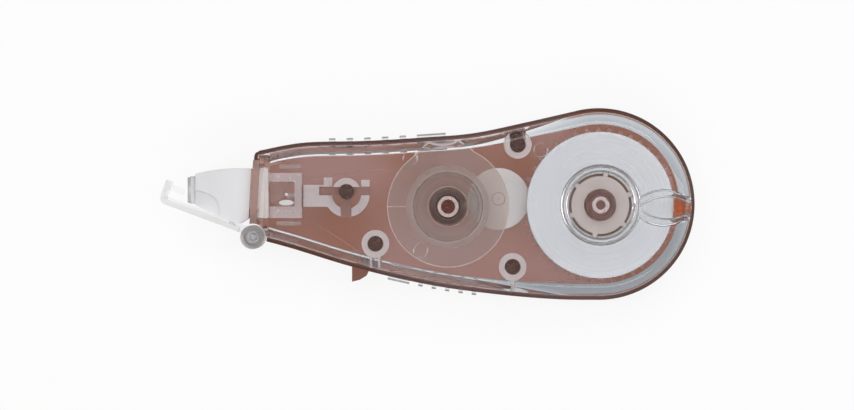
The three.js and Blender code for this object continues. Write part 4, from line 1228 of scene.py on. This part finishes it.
def placed(piece, body, slot, look, *nodes):
    put_material(piece, MATERIALS[look])
    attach(piece, body)
    if nodes:
        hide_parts(*nodes)


def back_piece(piece, look):
    placed(piece, "case", "tinted_shell", look, "back_shell")


def front_piece(piece, look):
    placed(piece, "case", "clear_shell", look, "front_shell")


def build_pieces():
    back_piece(smoothed(build_back_shell()), "tinted_plastic")
    back_piece(smoothed(build_mouth_wall(), bevel=0.12 * MM), "wall_plastic")
    back_piece(smoothed(build_guides(), bevel=0.4 * MM, segments=5), "guide_plastic")
    back_piece(smoothed(build_tee_rib(), bevel=0.08 * MM), "rib_plastic")
    back_piece(smoothed(build_tail_post(), bevel=0.1 * MM), "orange_plastic")
    back_piece(smoothed(build_pins()), "pin_plastic")
    back_piece(smoothed(build_warm_plug()), "warm_plastic")
    back_piece(smoothed(build_takeup_shaft()), "shaft_plastic")
    front_piece(smoothed(build_front_shell()), "clear_plastic")
    # The sockets' whitish plastic is painted reflection, standing in for light reflected inside the clear
    # tubes
    front_piece(smoothed(build_sockets()), "socket_reflection_plastic")
    front_piece(smoothed(build_bosses()), "boss_plastic")
    # The grips' ends beyond the outline take a grey plastic: painted shade, the dark look of clear ribs seen
    # end-on
    grips = build_grips(GRIP_STEP + HAIR, GRIP_END)
    front_piece(smoothed(grips, bevel=0.1 * MM, segments=3), "grip_plastic")
    yoke = smoothed(build_yoke(), bevel=0.08 * MM)
    placed(yoke, "case", "translucent_white", "translucent_plastic", "head_yoke")
    placed(smoothed(build_idler_cap(), 50), "idler", "frosted_white", "idler_plastic")
    # The idler's ring takes the darker holder plastic as painted shade, and its dot with it
    placed(smoothed(build_idler_shade_ring(), 50), "idler", "frosted_white", "holder_plastic")
    placed(smoothed(build_reel_beads()), "takeup_spool", "clear_reel", "bead_plastic")
    # The hub edge's dark ring is painted shade
    placed(smoothed(build_reel_edge()), "takeup_spool", "clear_reel", "edge_plastic")
    # The slot's dark ring is painted shade in the rubber's colour
    placed(smoothed(build_gap_shade_ring(), bevel=0.05 * MM), "supply_spool", "ring_rubber", "dark_rubber")
    # The window's dot and oval are painted highlights in the head's white plastic
    placed(smoothed(build_window_glints()), "case", "translucent_white", "frosted_plastic", "head_yoke")
    placed(smoothed(build_flange_face(), bevel=0.06 * MM), "head", "translucent_white", "cream_plastic")
    placed(smoothed(cap_split(False), bevel=0.12 * MM), "cap", "clear_shell", "cap_plastic", "cap")
    placed(smoothed(cap_split(True), bevel=0.12 * MM), "cap", "clear_shell", "knob_plastic", "cap")
    placed(smoothed(build_tape_pack(), 60), "supply_spool", "correction_tape", "tape_white", "tape_pack")


def refine_nodes():
    """The CAD nodes that stay, each with its look."""
    refine_node("supply_gear", "gear_plastic")
    refine_node("idler_gear", "idler_plastic")
    refine_node("tape_feed_run", "tape_run_plastic", bevel=None)
    refine_node("tape_return_run", "tape_run_plastic", bevel=None)
    refine_node("supply_core", "cream_plastic")
    refine_node("clutch_disc", "cream_plastic")
    refine_node("clutch_ring", "dark_rubber")
    refine_node("takeup_reel", "reel_plastic")
    refine_node("takeup_front_flange", "milky_clear_plastic")
    refine_node("takeup_winding", "backing_tape")
    refine_node("head_nose", "frosted_plastic", bevel=0.35 * MM, segments=4)
    refine_node("head_tongue", "frosted_plastic")
    refine_node("head_holder", "holder_plastic", bevel=0.12 * MM, segments=3)
    # The tape round the tip takes the whiter frosted plastic, not tape_white: painted light that lifts the
    # shade it lies in
    refine_node("tape_tip_loop", "frosted_plastic", bevel=None)


build_camera()
build_floor()
for light in LIGHTS:
    area_light(*light)
build_sky()
build_pieces()
refine_nodes()

bpy.context.scene.view_settings.view_transform = "Standard"
